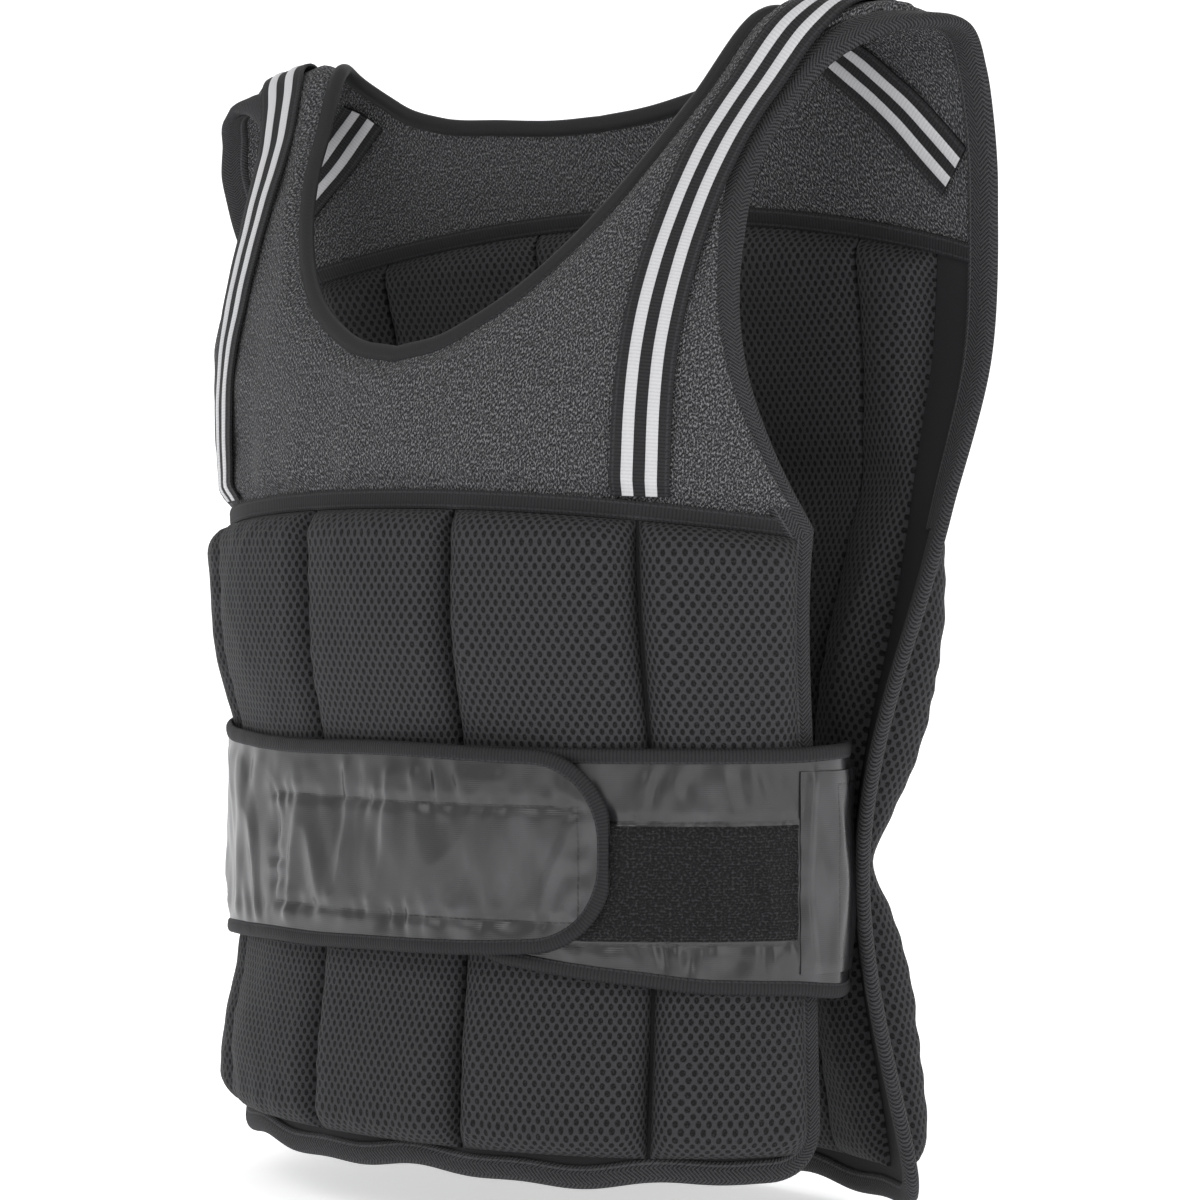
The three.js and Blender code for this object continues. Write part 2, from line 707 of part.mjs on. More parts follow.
function seamTapePath(half, alongOf) {
  const lines = columnLines(half, 0).slice(1, -1);
  return withInward(lines.map((across) => ({ across, along: alongOf(across) })));
}
const seamTapeLow = panelThickness + foldGap / 2;
const seamTapeHigh = seamTapeLow + tapeThickness;
const frontSeamHalf = sideEdge - armBindingWidth - 7;
const backSeamHalf = backCornerAcross - armBindingWidth - 8;
addTape('front_seam_tape', 'tape', seamTapePath(frontSeamHalf, frontSeamAlong), seamTapeWidth,
  seamTapeLow + 0.2, seamTapeHigh + 0.2);
addTape('back_seam_tape_outer', 'tape', seamTapePath(backSeamHalf, backSeamAlong), seamTapeWidth,
  seamTapeLow + 4.5, seamTapeHigh + 4.5);
addTape('back_seam_tape_inner', 'tape', seamTapePath(backSeamHalf, backSeamAlong), seamTapeWidth,
  -foldGap - tapeThickness, -foldGap);

// Shoulder tapes with their reflective stripes
const shoulderTapePoints = [
  { across: 131, along: 303 },
  { across: 131, along: 340 },
  { across: 131, along: 376 },
  { across: 131, along: 410 },
  { across: 132, along: 442 },
  { across: 135, along: 474 },
  { across: 141, along: 504 },
  { across: 148, along: 525 },
  { across: 154, along: 538 },
  { across: 158, along: 549 },
  { across: 162, along: 559 },
  { across: 165, along: 569 },
  { across: 167, along: 580 },
  { across: 168, along: 594 },
  { across: 168, along: 614 },
  { across: 168, along: 645 },
];
const innerTapePoints = [
  { across: 134, along: 585 },
  { across: 141, along: 592 },
  { across: 148, along: 599 },
  { across: 156, along: 607 },
  { across: 165, along: 616 },
  { across: 175, along: 627 },
  { across: 185, along: 637 },
];
const tapeLift = 2.3;
const stripeLift = 1.6;
const stripeOffset = (stripeWidth + stripeSpacing) / 2;
function addStripedTape(name, points, low, direction) {
  const path = withInward(points);
  const layers = (bottom, thickness) => (direction > 0 ? [bottom, bottom + thickness]
    : [-bottom - thickness, -bottom]);
  for (const side of ['left', 'right']) {
    const sidePath = side === 'left' ? path : path.map(mirrorPoint);
    addTape(`${name}_tape_${side}`, 'tape', sidePath, shoulderTapeWidth, ...layers(low, tapeThickness));
    const stripeLow = low + tapeThickness + stripeLift;
    ['inner', 'outer'].forEach((place, k) => {
      addTape(`${name}_stripe_${side}_${place}`, 'reflective', sidePath, stripeWidth,
        ...layers(stripeLow, stripeThickness), k === 0 ? stripeOffset : -stripeOffset);
    });
  }
}
addStripedTape('shoulder', shoulderTapePoints, yokeThickness + tapeLift, 1);
addStripedTape('inside', innerTapePoints, tapeLift, -1);

// Stations of each belt half from its sewn end to its tip: across on the front (positive on the
// half's own side), how far it stands out, and the height of its two edges above the shoulders' zero
const leftBeltRows = [
  { across: 203, out: beltOut, top: 188, bottom: 80 },
  { across: 186, out: beltOut, top: 187, bottom: 82 },
  { across: 168, out: beltOut, top: 187, bottom: 83 },
  { across: 148, out: beltOut, top: 187, bottom: 84 },
  { across: 126, out: beltOut, top: 187, bottom: 87 },
  { across: 100, out: beltOut, top: 187, bottom: 90 },
  { across: 72, out: beltOut, top: 187, bottom: 94 },
  { across: 38, out: beltOut, top: 187, bottom: 99 },
];
const rightBeltRows = [
  { across: 203, out: beltOut, top: 194, bottom: 88 },
  { across: 186, out: beltOut, top: 193, bottom: 90 },
  { across: 168, out: beltOut, top: 192, bottom: 91 },
  { across: 148, out: beltOut, top: 191, bottom: 92 },
  { across: 126, out: beltOut, top: 189, bottom: 94 },
  { across: 100, out: beltOut, top: 188, bottom: 95 },
  { across: 70, out: beltOut, top: 187, bottom: 96 },
  { across: 38, out: beltOut, top: 187, bottom: 96 },
  { across: 6, out: beltOut + 1.5, top: 188, bottom: 97 },
  { across: -30, out: beltOverlapOut, top: 188, bottom: 98 },
  { across: -62, out: beltOverlapOut, top: 187, bottom: 99 },
  { across: -90, out: beltOverlapOut, top: 186, bottom: 101 },
  { across: -114, out: beltOverlapOut, top: 184, bottom: 103 },
];
const beltAnchorRows = [
  { across: 168, out: beltAnchorOut },
  { across: 178, out: beltAnchorOut },
  { across: 188, out: beltAnchorOut },
];

// A belt half as a surface of its own: length from the sewn end, height, and distance out
function beltSurface(rows, side) {
  const flat = (point) => new THREE.Vector3(point.x, point.y, 0);
  const anchor = beltAnchorRows.map((row) => flat(formPoint(side * row.across, beltAlongBack, row.out)));
  const front = rows.map((row) => flat(formPoint(side * row.across, beltAlongFront, row.out)));
  const curve = new THREE.CatmullRomCurve3([...anchor, ...front], false, 'centripetal');
  curve.arcLengthDivisions = 400;
  const total = curve.getLength();
  const lengths = curve.getLengths(400);
  const spans = anchor.length + front.length - 1;
  const stationLength = (index) => lengths[Math.round((400 * index) / spans)];
  const stations = [
    ...beltAnchorRows.map((row, i) => ({ ...rows[0], length: stationLength(i) })),
    ...rows.map((row, i) => ({ ...row, length: stationLength(anchor.length + i) })),
  ];
  const zero = sections[0].z;
  const edgeAt = (key, length) => {
    let i = 0;
    while (i < stations.length - 2 && stations[i + 1].length < length) i++;
    const share = (length - stations[i].length) / (stations[i + 1].length - stations[i].length);
    return mix(stations[i][key], stations[i + 1][key], clamp(share, 0, 1)) + zero;
  };
  const place = (length, height, out) => {
    const share = clamp(length / total, 0, 1);
    const point = curve.getPointAt(share);
    const tangent = curve.getTangentAt(share);
    return new THREE.Vector3(point.x - side * tangent.y * out, point.y + side * tangent.x * out, height);
  };
  return { place, total, stations, edgeAt };
}

// Outline of a belt half with a rounded tip: pairs of edge points from the sewn end to the tip
function beltOutline(belt, lengths) {
  const tipSteps = [36, 24, 14, 6, 0];
  const straight = lengths.filter((length) => length < belt.total - tipSteps[0] - 6);
  const all = [...straight, ...tipSteps.map((step) => belt.total - step)];
  return all.map((length) => {
    const top = belt.edgeAt('top', length);
    const bottom = belt.edgeAt('bottom', length);
    const inside = clamp(beltCornerRadius - (belt.total - length), 0, beltCornerRadius);
    const cut = beltCornerRadius - Math.sqrt(beltCornerRadius ** 2 - inside ** 2);
    return { length, top: top - cut, bottom: bottom + cut };
  });
}

function addBelt(name, rows, side) {
  const belt = beltSurface(rows, side);
  const outline = beltOutline(belt, belt.stations.map((station) => station.length));
  const sheet = (out) => outline.map((row) => [
    belt.place(row.length, row.bottom, out),
    belt.place(row.length, row.top, out),
  ]);
  addShell(name, 'satin', sheet(beltSkin), sheet(-beltSkin));
  const path = [
    ...outline.map((row) => ({ across: row.length, along: row.top })),
    ...outline.slice().reverse().map((row) => ({ across: row.length, along: row.bottom })),
  ];
  const section = bindingSection(beltBindingWidth, -beltSkin - pieceGap, beltSkin + pieceGap);
  const turned = withInward(path).map((point) => ({
    ...point,
    inAcross: -point.inAcross,
    inAlong: -point.inAlong,
  }));
  turned[0] = { ...turned[0], inAcross: 0, inAlong: -1 };
  turned[turned.length - 1] = { ...turned[turned.length - 1], inAcross: 0, inAlong: 1 };
  addSweep(`${name}_binding`, 'twillBinding', ringsOnForm(turned, section, belt.place), section, false);
  return { ...belt, outline };
}

// Flat patch on a belt half between two lengths, bent on the same lines as the belt
function addBeltPatch(name, materialName, belt, from, to, low, height, nearOut, farOut) {
  const lengths = belt.outline.map((row) => row.length).filter((length) => length >= from && length <= to);
  const sheet = (out) => lengths.map((length) => [
    belt.place(length, low, out),
    belt.place(length, low + height, out),
  ]);
  addShell(name, materialName, sheet(farOut), sheet(nearOut));
}

const leftBelt = addBelt('belt_left', leftBeltRows, 1);
const rightBelt = addBelt('belt_right', rightBeltRows, -1);

// Hook and loop patches that close the belt, and the folded ends sewn over its roots
const patchOut = beltSkin + pieceGap;
const lengthOf = (belt, index) => belt.stations[index].length;
addBeltPatch('loop_patch', 'loop', leftBelt, lengthOf(leftBelt, 4), leftBelt.total - 36,
  loopPatchLow, loopPatchWidth, patchOut, patchOut + patchThickness);
addBeltPatch('hook_patch', 'loop', rightBelt, lengthOf(rightBelt, 9), rightBelt.total - 24,
  hookPatchLow, loopPatchWidth, -patchOut, -patchOut - patchThickness);
addBeltPatch('belt_anchor_left', 'satin', leftBelt, 0, lengthOf(leftBelt, 4) - 1,
  anchorLow, anchorHeight, patchOut, patchOut + patchThickness);
addBeltPatch('belt_anchor_right', 'satin', rightBelt, 0, lengthOf(rightBelt, 4) - 1,
  rightAnchorLow, rightAnchorHeight, patchOut, patchOut + patchThickness);

export default group;
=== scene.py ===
import math

import bmesh
import bpy
import numpy as np
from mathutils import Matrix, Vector


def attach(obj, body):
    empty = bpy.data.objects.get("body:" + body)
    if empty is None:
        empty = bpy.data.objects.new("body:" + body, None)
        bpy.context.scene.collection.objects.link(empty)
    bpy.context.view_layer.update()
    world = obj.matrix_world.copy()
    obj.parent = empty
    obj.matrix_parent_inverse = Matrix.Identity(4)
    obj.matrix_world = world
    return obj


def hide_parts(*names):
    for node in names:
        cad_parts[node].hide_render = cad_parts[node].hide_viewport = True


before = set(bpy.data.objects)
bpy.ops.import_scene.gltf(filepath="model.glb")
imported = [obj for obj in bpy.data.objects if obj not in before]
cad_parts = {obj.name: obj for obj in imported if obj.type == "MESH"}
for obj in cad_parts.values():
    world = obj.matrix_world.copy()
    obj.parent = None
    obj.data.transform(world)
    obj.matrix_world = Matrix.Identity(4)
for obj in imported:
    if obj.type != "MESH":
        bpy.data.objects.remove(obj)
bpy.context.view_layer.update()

# A weighted vest in its worn shape. The form and its garment coordinates are those of the solids:
# across from the centre line, along up the front from the hem and down the back, out off the cloth.
# Lengths are millimetres until a mesh is made.
shoulderLevel = 264

view = {
    "azimuth": 42,
    "elevation": 0.8,
    "distance": 1.88,
    "lens": 120,
    "targetRight": 0.0141,
    "targetHeight": -0.2696,
}

cloth = {
    "panelThickness": 2.4,
    "yokeThickness": 7,
    "pocketHeight": 13,
    "pocketHeightUnderBelt": 7,
    "backPadHeight": 13,
    "innerPadHeight": 10,
    "seamWidth": 1.6,
}

front = {
    "half": 206,
    "hem": 0,
    "split": 150,
    "seam": 297,
    "seamDroop": 11,
    "corner": 24,
    "waist": 5,
    "columnMargin": 6.5,
    "hemMargin": 13,
}

back = {
    "seam": 650,
    "seamDroop": 19,
    "seamHalf": 168,
    "rows": [779, 950],
    "hem": 1100,
    "corner": 20,
    "columnMargin": 15,
    "innerMargin": 31,
    "hemMargin": 13,
    "armholeBottom": 800,
}

columnEdges = [-130, -43, 43, 130]

# Stations of the form: y and z of the centre line, where the cloth faces, how far a section turns
# 200 mm out, the share of the turn spread evenly, and the left side's push back and up
sections = [
    {"y": -118, "z": -256, "face": 0, "turn": 72, "even": 0.55, "skew": 0, "tilt": 0},
    {"y": -114, "z": -110, "face": 0, "turn": 78, "even": 0.5, "skew": 0, "tilt": 0},
    {"y": -122, "z": 41, "face": 3, "turn": 68, "even": 0.5, "skew": 0, "tilt": 0},
    {"y": -112, "z": 112, "face": 14, "turn": 52, "even": 0.55, "skew": 0.02, "tilt": 0.01},
    {"y": -84, "z": 172, "face": 32, "turn": 36, "even": 0.6, "skew": 0.05, "tilt": 0.02},
    {"y": -52, "z": 220, "face": 44, "turn": 26, "even": 0.6, "skew": 0.08, "tilt": 0.03},
    {"y": -12, "z": 260, "face": 88, "turn": 14, "even": 0.6, "skew": 0.1, "tilt": 0.036},
    {"y": 12, "z": 245, "face": 134, "turn": 11, "even": 0.4, "skew": 0.12, "tilt": 0.06},
    {"y": 20, "z": 222, "face": 156, "turn": 11, "even": 0.3, "skew": 0.14, "tilt": 0.06},
    {"y": 31, "z": 180, "face": 166, "turn": 12, "even": 0.25, "skew": 0.17, "tilt": 0.02},
    {"y": 49, "z": 110, "face": 172, "turn": 16, "even": 0.2, "skew": 0.16, "tilt": 0},
    {"y": 58, "z": 36, "face": 178, "turn": 36, "even": 0.3, "skew": 0.1, "tilt": 0},
    {"y": 60, "z": -112, "face": 180, "turn": 60, "even": 0.4, "skew": 0, "tilt": 0},
    {"y": 66, "z": -268, "face": 180, "turn": 42, "even": 0.4, "skew": 0, "tilt": 0},
]

# Edges in across and along. The neck runs from centre front to centre back, an armhole from the
# underarm at the front to the back's seam, and the side on down to the back's hem.
neckFront = [
    (0, 364), (26, 369), (43, 378), (59, 390), (78, 413),
    (92, 439), (104, 471), (112, 504), (119, 534), (124, 563),
]
neckBack = [(124, 563), (110, 583), (90, 592), (55, 598), (25, 602), (0, 603)]
armFront = [
    (206, 286), (192, 309), (176, 344), (163, 386), (155, 428), (151, 466),
    (155, 496), (164, 516), (178, 531), (193, 544), (205, 556.5), (208, 563),
]
armBack = [(208, 563), (212.5, 583), (213, 600), (211, 620), (208, 641), (204, 660)]
backSide = [
    (204, 660), (197, 700), (193, 745), (196, 800), (200, 850), (197, 900),
    (194, 950), (197, 1000), (202, 1050), (205, 1100),
]
shoulderTape = [
    (131, 299), (131, 340), (131, 376), (131, 410), (132, 442), (135, 474), (141, 504),
    (148, 525), (154, 538), (158, 549), (162, 559), (165, 569), (167, 580), (168, 594),
    (168, 614), (168, 648),
]
insideTape = [(131, 582), (141, 592), (148, 599), (156, 607), (165, 616), (175, 627), (188, 640)]


def hermiteSlopes(at, values):
    spans = np.diff(at)[:, None]
    steps = np.diff(values, axis=0) / spans
    middle = (steps[1:] * spans[:-1] + steps[:-1] * spans[1:]) / (spans[:-1] + spans[1:])
    return np.vstack([steps[:1], middle, steps[-1:]])


def hermite(at, values, place):
    slopes = hermiteSlopes(at, values)
    i = np.clip(np.searchsorted(at, place, side="right") - 1, 0, len(at) - 2)
    span = (at[i + 1] - at[i])[:, None]
    u = (place - at[i])[:, None] / span
    start = (2 * u**3 - 3 * u**2 + 1) * values[i] + (u**3 - 2 * u**2 + u) * span * slopes[i]
    end = (3 * u**2 - 2 * u**3) * values[i + 1] + (u**3 - u**2) * span * slopes[i + 1]
    return start + end


def runningLength(points):
    steps = np.linalg.norm(np.diff(points, axis=0), axis=1)
    return np.concatenate([[0], np.cumsum(steps)])


# Points at even steps along a smooth curve through the given ones
def smoothPath(points, count):
    points = np.array(points, float)
    steps = runningLength(points)
    curve = hermite(steps, points, np.linspace(0, steps[-1], 900))
    lengths = runningLength(curve)
    places = np.linspace(0, lengths[-1], count)
    return np.stack([np.interp(places, lengths, curve[:, k]) for k in range(points.shape[1])], axis=1)


sectionValues = np.array([list(row.values()) for row in sections], float)
sectionAlong = runningLength(sectionValues[:, :2])
sectionSlopes = hermiteSlopes(sectionAlong, sectionValues)


def clothPoints(across, along):
    place = np.clip(along, 0, sectionAlong[-1])
    values = hermite(sectionAlong, sectionValues, place)
    beyond = along - place
    endSlope = np.where((beyond < 0)[:, None], sectionSlopes[0], sectionSlopes[-1])
    values[:, :2] += beyond[:, None] * endSlope[:, :2]
    y, z, face, turn, even, skew, tilt = values.T
    face = np.radians(face)
    shares = (np.arange(12) + 0.5) / 12
    reach = np.abs(across)[:, None] * shares / 200
    angle = np.radians(turn)[:, None] * (even[:, None] * reach + (1 - even[:, None]) * reach**3)
    x = np.cos(angle).mean(axis=1) * across
    drop = np.sin(angle).mean(axis=1) * np.abs(across)
    return np.stack([
        x,
        y + drop * np.cos(face) + skew * x,
        z - drop * np.sin(face) + tilt * x - shoulderLevel,
    ], axis=1)


def formPoints(across, along, out):
    sideways = clothPoints(across + 0.5, along) - clothPoints(across - 0.5, along)
    upwards = clothPoints(across, along + 0.5) - clothPoints(across, along - 0.5)
    normal = np.cross(sideways, upwards)
    normal /= np.linalg.norm(normal, axis=1)[:, None]
    return clothPoints(across, along) + normal * np.asarray(out)[:, None]


def smoothStep(low, high, value):
    share = np.clip((value - low) / (high - low), 0, 1)
    return share * share * (3 - 2 * share)


# Quarter round from 0 at a seam to 1 at the given reach from it
def roundOff(distance, reach):
    share = 1 - np.clip(distance / reach, 0, 1)
    return np.sqrt(1 - share * share)


# Soft lumps between about -1 and 1, made of a few waves in scattered directions
def lumps(x, y, size, seed):
    scatter = np.random.default_rng(seed)
    total = np.zeros_like(x, dtype=float)
    for _ in range(7):
        heading = scatter.uniform(0, math.tau)
        wave = math.tau / (size * scatter.uniform(0.7, 1.6))
        start = scatter.uniform(0, math.tau)
        total += np.sin((x * math.cos(heading) + y * math.sin(heading)) * wave + start)
    return total / 3.5


def finishMesh(name, mesh, material, nodes, sharpAngle):
    bmesh.ops.recalc_face_normals(mesh, faces=mesh.faces[:])
    data = bpy.data.meshes.new(name)
    mesh.to_mesh(data)
    mesh.free()
    for face in data.polygons:
        face.use_smooth = True
    data.set_sharp_from_angle(angle=math.radians(sharpAngle))
    data.materials.append(material)
    piece = bpy.data.objects.new(name, data)
    bpy.context.scene.collection.objects.link(piece)
    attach(piece, "root")
    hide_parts(*nodes)
    return piece


# Closed sheet with an inner and an outer side. place takes shares u and v and whether a point is on
# the outer side, and gives points in millimetres and the two cloth coordinates for the weave.
def addSlab(name, columns, rows, place, material, nodes, sharpAngle=60):
    mesh = bmesh.new()
    bmesh.ops.create_grid(mesh, x_segments=columns, y_segments=rows, size=0.5)
    copied = bmesh.ops.extrude_face_region(mesh, geom=mesh.faces[:])["geom"]
    mesh.verts.index_update()
    raised = {item.index for item in copied if isinstance(item, bmesh.types.BMVert)}
    u = np.array([vert.co.x for vert in mesh.verts]) + 0.5
    v = np.array([vert.co.y for vert in mesh.verts]) + 0.5
    outer = np.array([vert.index in raised for vert in mesh.verts])
    points, weaveX, weaveY = place(u, v, outer)
    layer = mesh.loops.layers.uv.new("UVMap")
    for vert, point in zip(mesh.verts, points / 1000):
        vert.co = point
    for face in mesh.faces:
        for loop in face.loops:
            i = loop.vert.index
            loop[layer].uv = (weaveX[i] / 1000, weaveY[i] / 1000)
    return finishMesh(name, mesh, material, nodes, sharpAngle)


# Body swept along a path: rows of across, along and the direction into the cloth, with a closed
# section of distances inward and out
def addSweep(name, path, section, place, closed, material, nodes, sharpAngle=60):
    around = len(section)
    steps = len(path) if closed else len(path) - 1
    mesh = bmesh.new()
    bmesh.ops.create_grid(mesh, x_segments=around, y_segments=steps, size=0.5)
    j = np.rint((np.array([vert.co.x for vert in mesh.verts]) + 0.5) * around).astype(int)
    i = np.rint((np.array([vert.co.y for vert in mesh.verts]) + 0.5) * steps).astype(int)
    row = path[i % len(path)]
    shape = section[j % around]
    points = place(row[:, 0] + row[:, 2] * shape[:, 0], row[:, 1] + row[:, 3] * shape[:, 0], shape[:, 1])
    lengths = np.append(runningLength(path[:, :2]), 0)
    lengths[-1] = lengths[-2] + np.linalg.norm(path[0, :2] - path[-1, :2])
    layer = mesh.loops.layers.uv.new("UVMap")
    for face in mesh.faces:
        for loop in face.loops:
            k = loop.vert.index
            loop[layer].uv = (shape[k, 0] / 1000, lengths[i[k]] / 1000)
    for vert, point in zip(mesh.verts, points / 1000):
        vert.co = point
    bmesh.ops.remove_doubles(mesh, verts=mesh.verts[:], dist=1e-6)
    if not closed:
        ends = [edge for edge in mesh.edges if edge.is_boundary]
        bmesh.ops.holes_fill(mesh, edges=ends, sides=0)
    return finishMesh(name, mesh, material, nodes, sharpAngle)


# Adds to a path the direction square to it that points into the cloth
def withInward(path, closed=False, side=1):
    if closed:
        ahead = np.roll(path, -1, axis=0) - np.roll(path, 1, axis=0)
    else:
        ahead = np.gradient(path, axis=0)
    ahead /= np.linalg.norm(ahead, axis=1)[:, None]
    return np.column_stack([path, -side * ahead[:, 1], side * ahead[:, 0]])


# Folded binding in section: legs on both faces that swell a little, joined by a round rim
def foldedSection(width, low, high, thickness, swell):
    middle = (low + high) / 2
    reach = (high - low) / 2 + thickness
    upper = [
        (width + 0.2, middle),
        (width, high + thickness * 0.5),
        (width - 0.8, high + thickness),
        (width * 0.5, high + thickness + swell),
        (width * 0.12, high + thickness + swell * 0.8),
        (-reach * 0.5, middle + reach * 0.72),
        (-reach * 0.85, middle),
    ]
    lower = [(inward, 2 * middle - out) for inward, out in upper[1:-1]]
    return smoothPath(upper + lower[::-1] + upper[:1], 29)[:-1]


def roundSection(centre, halfWidth, halfHeight, middle):
    turn = np.linspace(0, math.tau, 20, endpoint=False)
    return np.column_stack([centre + halfWidth * np.cos(turn), middle + halfHeight * np.sin(turn)])


def srgb(value):
    share = value / 255
    return share / 12.92 if share <= 0.04045 else ((share + 0.055) / 1.055) ** 2.4


# Grey with a trace of blue
def tint(grey):
    return (srgb(grey), srgb(grey), srgb(grey + 2), 1)


# Adds a node, with plain values or other nodes' sockets on its inputs in order
def addNode(tree, kind, inputs=(), **settings):
    node = tree.nodes.new(kind)
    for name, value in settings.items():
        setattr(node, name, value)
    for slot, value in enumerate(inputs):
        if isinstance(value, bpy.types.NodeSocket):
            tree.links.new(value, node.inputs[slot])
        elif value is not None:
            node.inputs[slot].default_value = value
    return node


def calc(tree, operation, *inputs):
    return addNode(tree, "ShaderNodeMath", inputs, operation=operation).outputs[0]


def ramp(tree, value, fromLow, fromHigh, toLow=0.0, toHigh=1.0):
    inputs = (value, fromLow, fromHigh, toLow, toHigh)
    return addNode(tree, "ShaderNodeMapRange", inputs, interpolation_type="SMOOTHSTEP").outputs[0]


# Starts a node group with a Vector input and the named numbers; gives its tree and input sockets
def startGroup(name, numbers):
    tree = bpy.data.node_groups.new(name, "ShaderNodeTree")
    tree.interface.new_socket(name="Vector", in_out="INPUT", socket_type="NodeSocketVector")
    for label, value in numbers.items():
        socket = tree.interface.new_socket(name=label, in_out="INPUT", socket_type="NodeSocketFloat")
        socket.default_value = value
    for label in ("Shade", "Height"):
        tree.interface.new_socket(name=label, in_out="OUTPUT", socket_type="NodeSocketFloat")
    entry = tree.nodes.new("NodeGroupInput")
    parts = addNode(tree, "ShaderNodeSeparateXYZ", (entry.outputs["Vector"],))
    return tree, entry.outputs, parts.outputs["X"], parts.outputs["Y"]


def endGroup(tree, shade, height):
    addNode(tree, "NodeGroupOutput", (shade, height))
    return tree


def meshHoleGroup():
    tree, given, x, y = startGroup("meshHoles", {"Pitch X": 0.004, "Pitch Y": 0.0031, "Hole": 0.3})
    gridX = calc(tree, "DIVIDE", x, given["Pitch X"])
    gridY = calc(tree, "DIVIDE", y, given["Pitch Y"])
    rowIndex = calc(tree, "FLOOR", gridY)
    shift = calc(tree, "MULTIPLY", calc(tree, "FLOORED_MODULO", rowIndex, 2.0), 0.5)
    fromX = calc(tree, "SUBTRACT", calc(tree, "FRACT", calc(tree, "ADD", gridX, shift)), 0.5)
    fromY = calc(tree, "SUBTRACT", calc(tree, "FRACT", gridY), 0.5)
    squareX = calc(tree, "MULTIPLY", fromX, fromX)
    squareY = calc(tree, "MULTIPLY", calc(tree, "MULTIPLY", fromY, fromY), 0.3)
    distance = calc(tree, "SQRT", calc(tree, "ADD", squareX, squareY))
    edge = calc(tree, "ADD", given["Hole"], 0.12)
    solid = ramp(tree, distance, given["Hole"], edge)
    return endGroup(tree, solid, solid)


def twillGroup():
    tree, given, x, y = startGroup("twillWeave", {"Thread": 0.0012, "Chevron": 10.0})
    folded = calc(tree, "PINGPONG", x, given["Chevron"])
    rising = calc(tree, "DIVIDE", calc(tree, "ADD", folded, y), given["Thread"])
    falling = calc(tree, "DIVIDE", calc(tree, "SUBTRACT", folded, y), given["Thread"])
    ridge = calc(tree, "SINE", calc(tree, "MULTIPLY", falling, math.tau))
    threads = calc(tree, "SINE", calc(tree, "MULTIPLY", rising, math.tau * 1.7))
    mixed = calc(tree, "ADD", ridge, calc(tree, "MULTIPLY", threads, 0.5))
    height = ramp(tree, mixed, -1.5, 1.5)
    return endGroup(tree, height, height)


def ribGroup():
    tree, given, x, y = startGroup("ribWeave", {"Rib": 0.0013})
    wave = calc(tree, "SINE", calc(tree, "MULTIPLY", calc(tree, "DIVIDE", y, given["Rib"]), math.pi))
    height = calc(tree, "ABSOLUTE", wave)
    return endGroup(tree, height, height)


# Fibre grain as soft streaks; at the satin's large sizes these streaks are broad patches of painted sheen
def grainAndSheenGroup():
    tree, given, x, y = startGroup("fibreGrainAndSheen", {"Grain X": 0.001, "Grain Y": 0.003})
    across = calc(tree, "DIVIDE", x, given["Grain X"])
    upward = calc(tree, "DIVIDE", y, given["Grain Y"])
    place = addNode(tree, "ShaderNodeCombineXYZ", (across, upward, 0.0)).outputs[0]
    texture = addNode(tree, "ShaderNodeTexNoise", noise_dimensions="2D")
    tree.links.new(place, texture.inputs["Vector"])
    texture.inputs["Scale"].default_value = 1
    texture.inputs["Detail"].default_value = 3
    value = texture.outputs[0]
    return endGroup(tree, ramp(tree, value, 0.45, 0.75), value)


# Thread laid in dashes along the outline of a box, or along a line if the box has no height
def stitchGroup():
    numbers = {"Centre X": 0.0, "Centre Y": 0.0, "Half X": 1.0, "Half Y": 0.0, "Stitch": 0.0032}
    tree, given, x, y = startGroup("stitchLine", numbers)
    fromX = calc(tree, "ABSOLUTE", calc(tree, "SUBTRACT", x, given["Centre X"]))
    fromY = calc(tree, "ABSOLUTE", calc(tree, "SUBTRACT", y, given["Centre Y"]))
    pastX = calc(tree, "SUBTRACT", fromX, given["Half X"])
    pastY = calc(tree, "SUBTRACT", fromY, given["Half Y"])
    distance = calc(tree, "ABSOLUTE", calc(tree, "MAXIMUM", pastX, pastY))
    run = calc(tree, "DIVIDE", calc(tree, "ADD", x, y), given["Stitch"])
    dash = calc(tree, "ABSOLUTE", calc(tree, "SUBTRACT", calc(tree, "FRACT", run), 0.5))
    thread = calc(tree, "MULTIPLY", ramp(tree, distance, 0.0006, 0.0003), ramp(tree, dash, 0.46, 0.38))
    valley = ramp(tree, distance, 0.0, 0.0018)
    height = calc(tree, "ADD", calc(tree, "MULTIPLY", thread, 0.6), valley)
    return endGroup(tree, thread, height)


groups = {
    "meshHoles": meshHoleGroup(),
    "twill": twillGroup(),
    "ribs": ribGroup(),
    "grainAndSheen": grainAndSheenGroup(),
    "stitch": stitchGroup(),
}


def useGroup(tree, name, coordinates, **numbers):
    node = tree.nodes.new("ShaderNodeGroup")
    node.node_tree = groups[name]
    tree.links.new(coordinates, node.inputs["Vector"])
    for label, value in numbers.items():
        node.inputs[label.replace("_", " ")].default_value = value
    return node.outputs["Shade"], node.outputs["Height"]


def mixColor(tree, share, first, second):
    node = tree.nodes.new("ShaderNodeMix")
    node.data_type = "RGBA"
    tree.links.new(share, node.inputs["Factor"])
    for label, value in (("A", first), ("B", second)):
        socket = [item for item in node.inputs if item.name == label and item.type == "RGBA"][0]
        if isinstance(value, bpy.types.NodeSocket):
            tree.links.new(value, socket)
        else:
            socket.default_value = value
    return [item for item in node.outputs if item.type == "RGBA"][0]


stitchRelief = 1.2
bumpStrength = 0.7
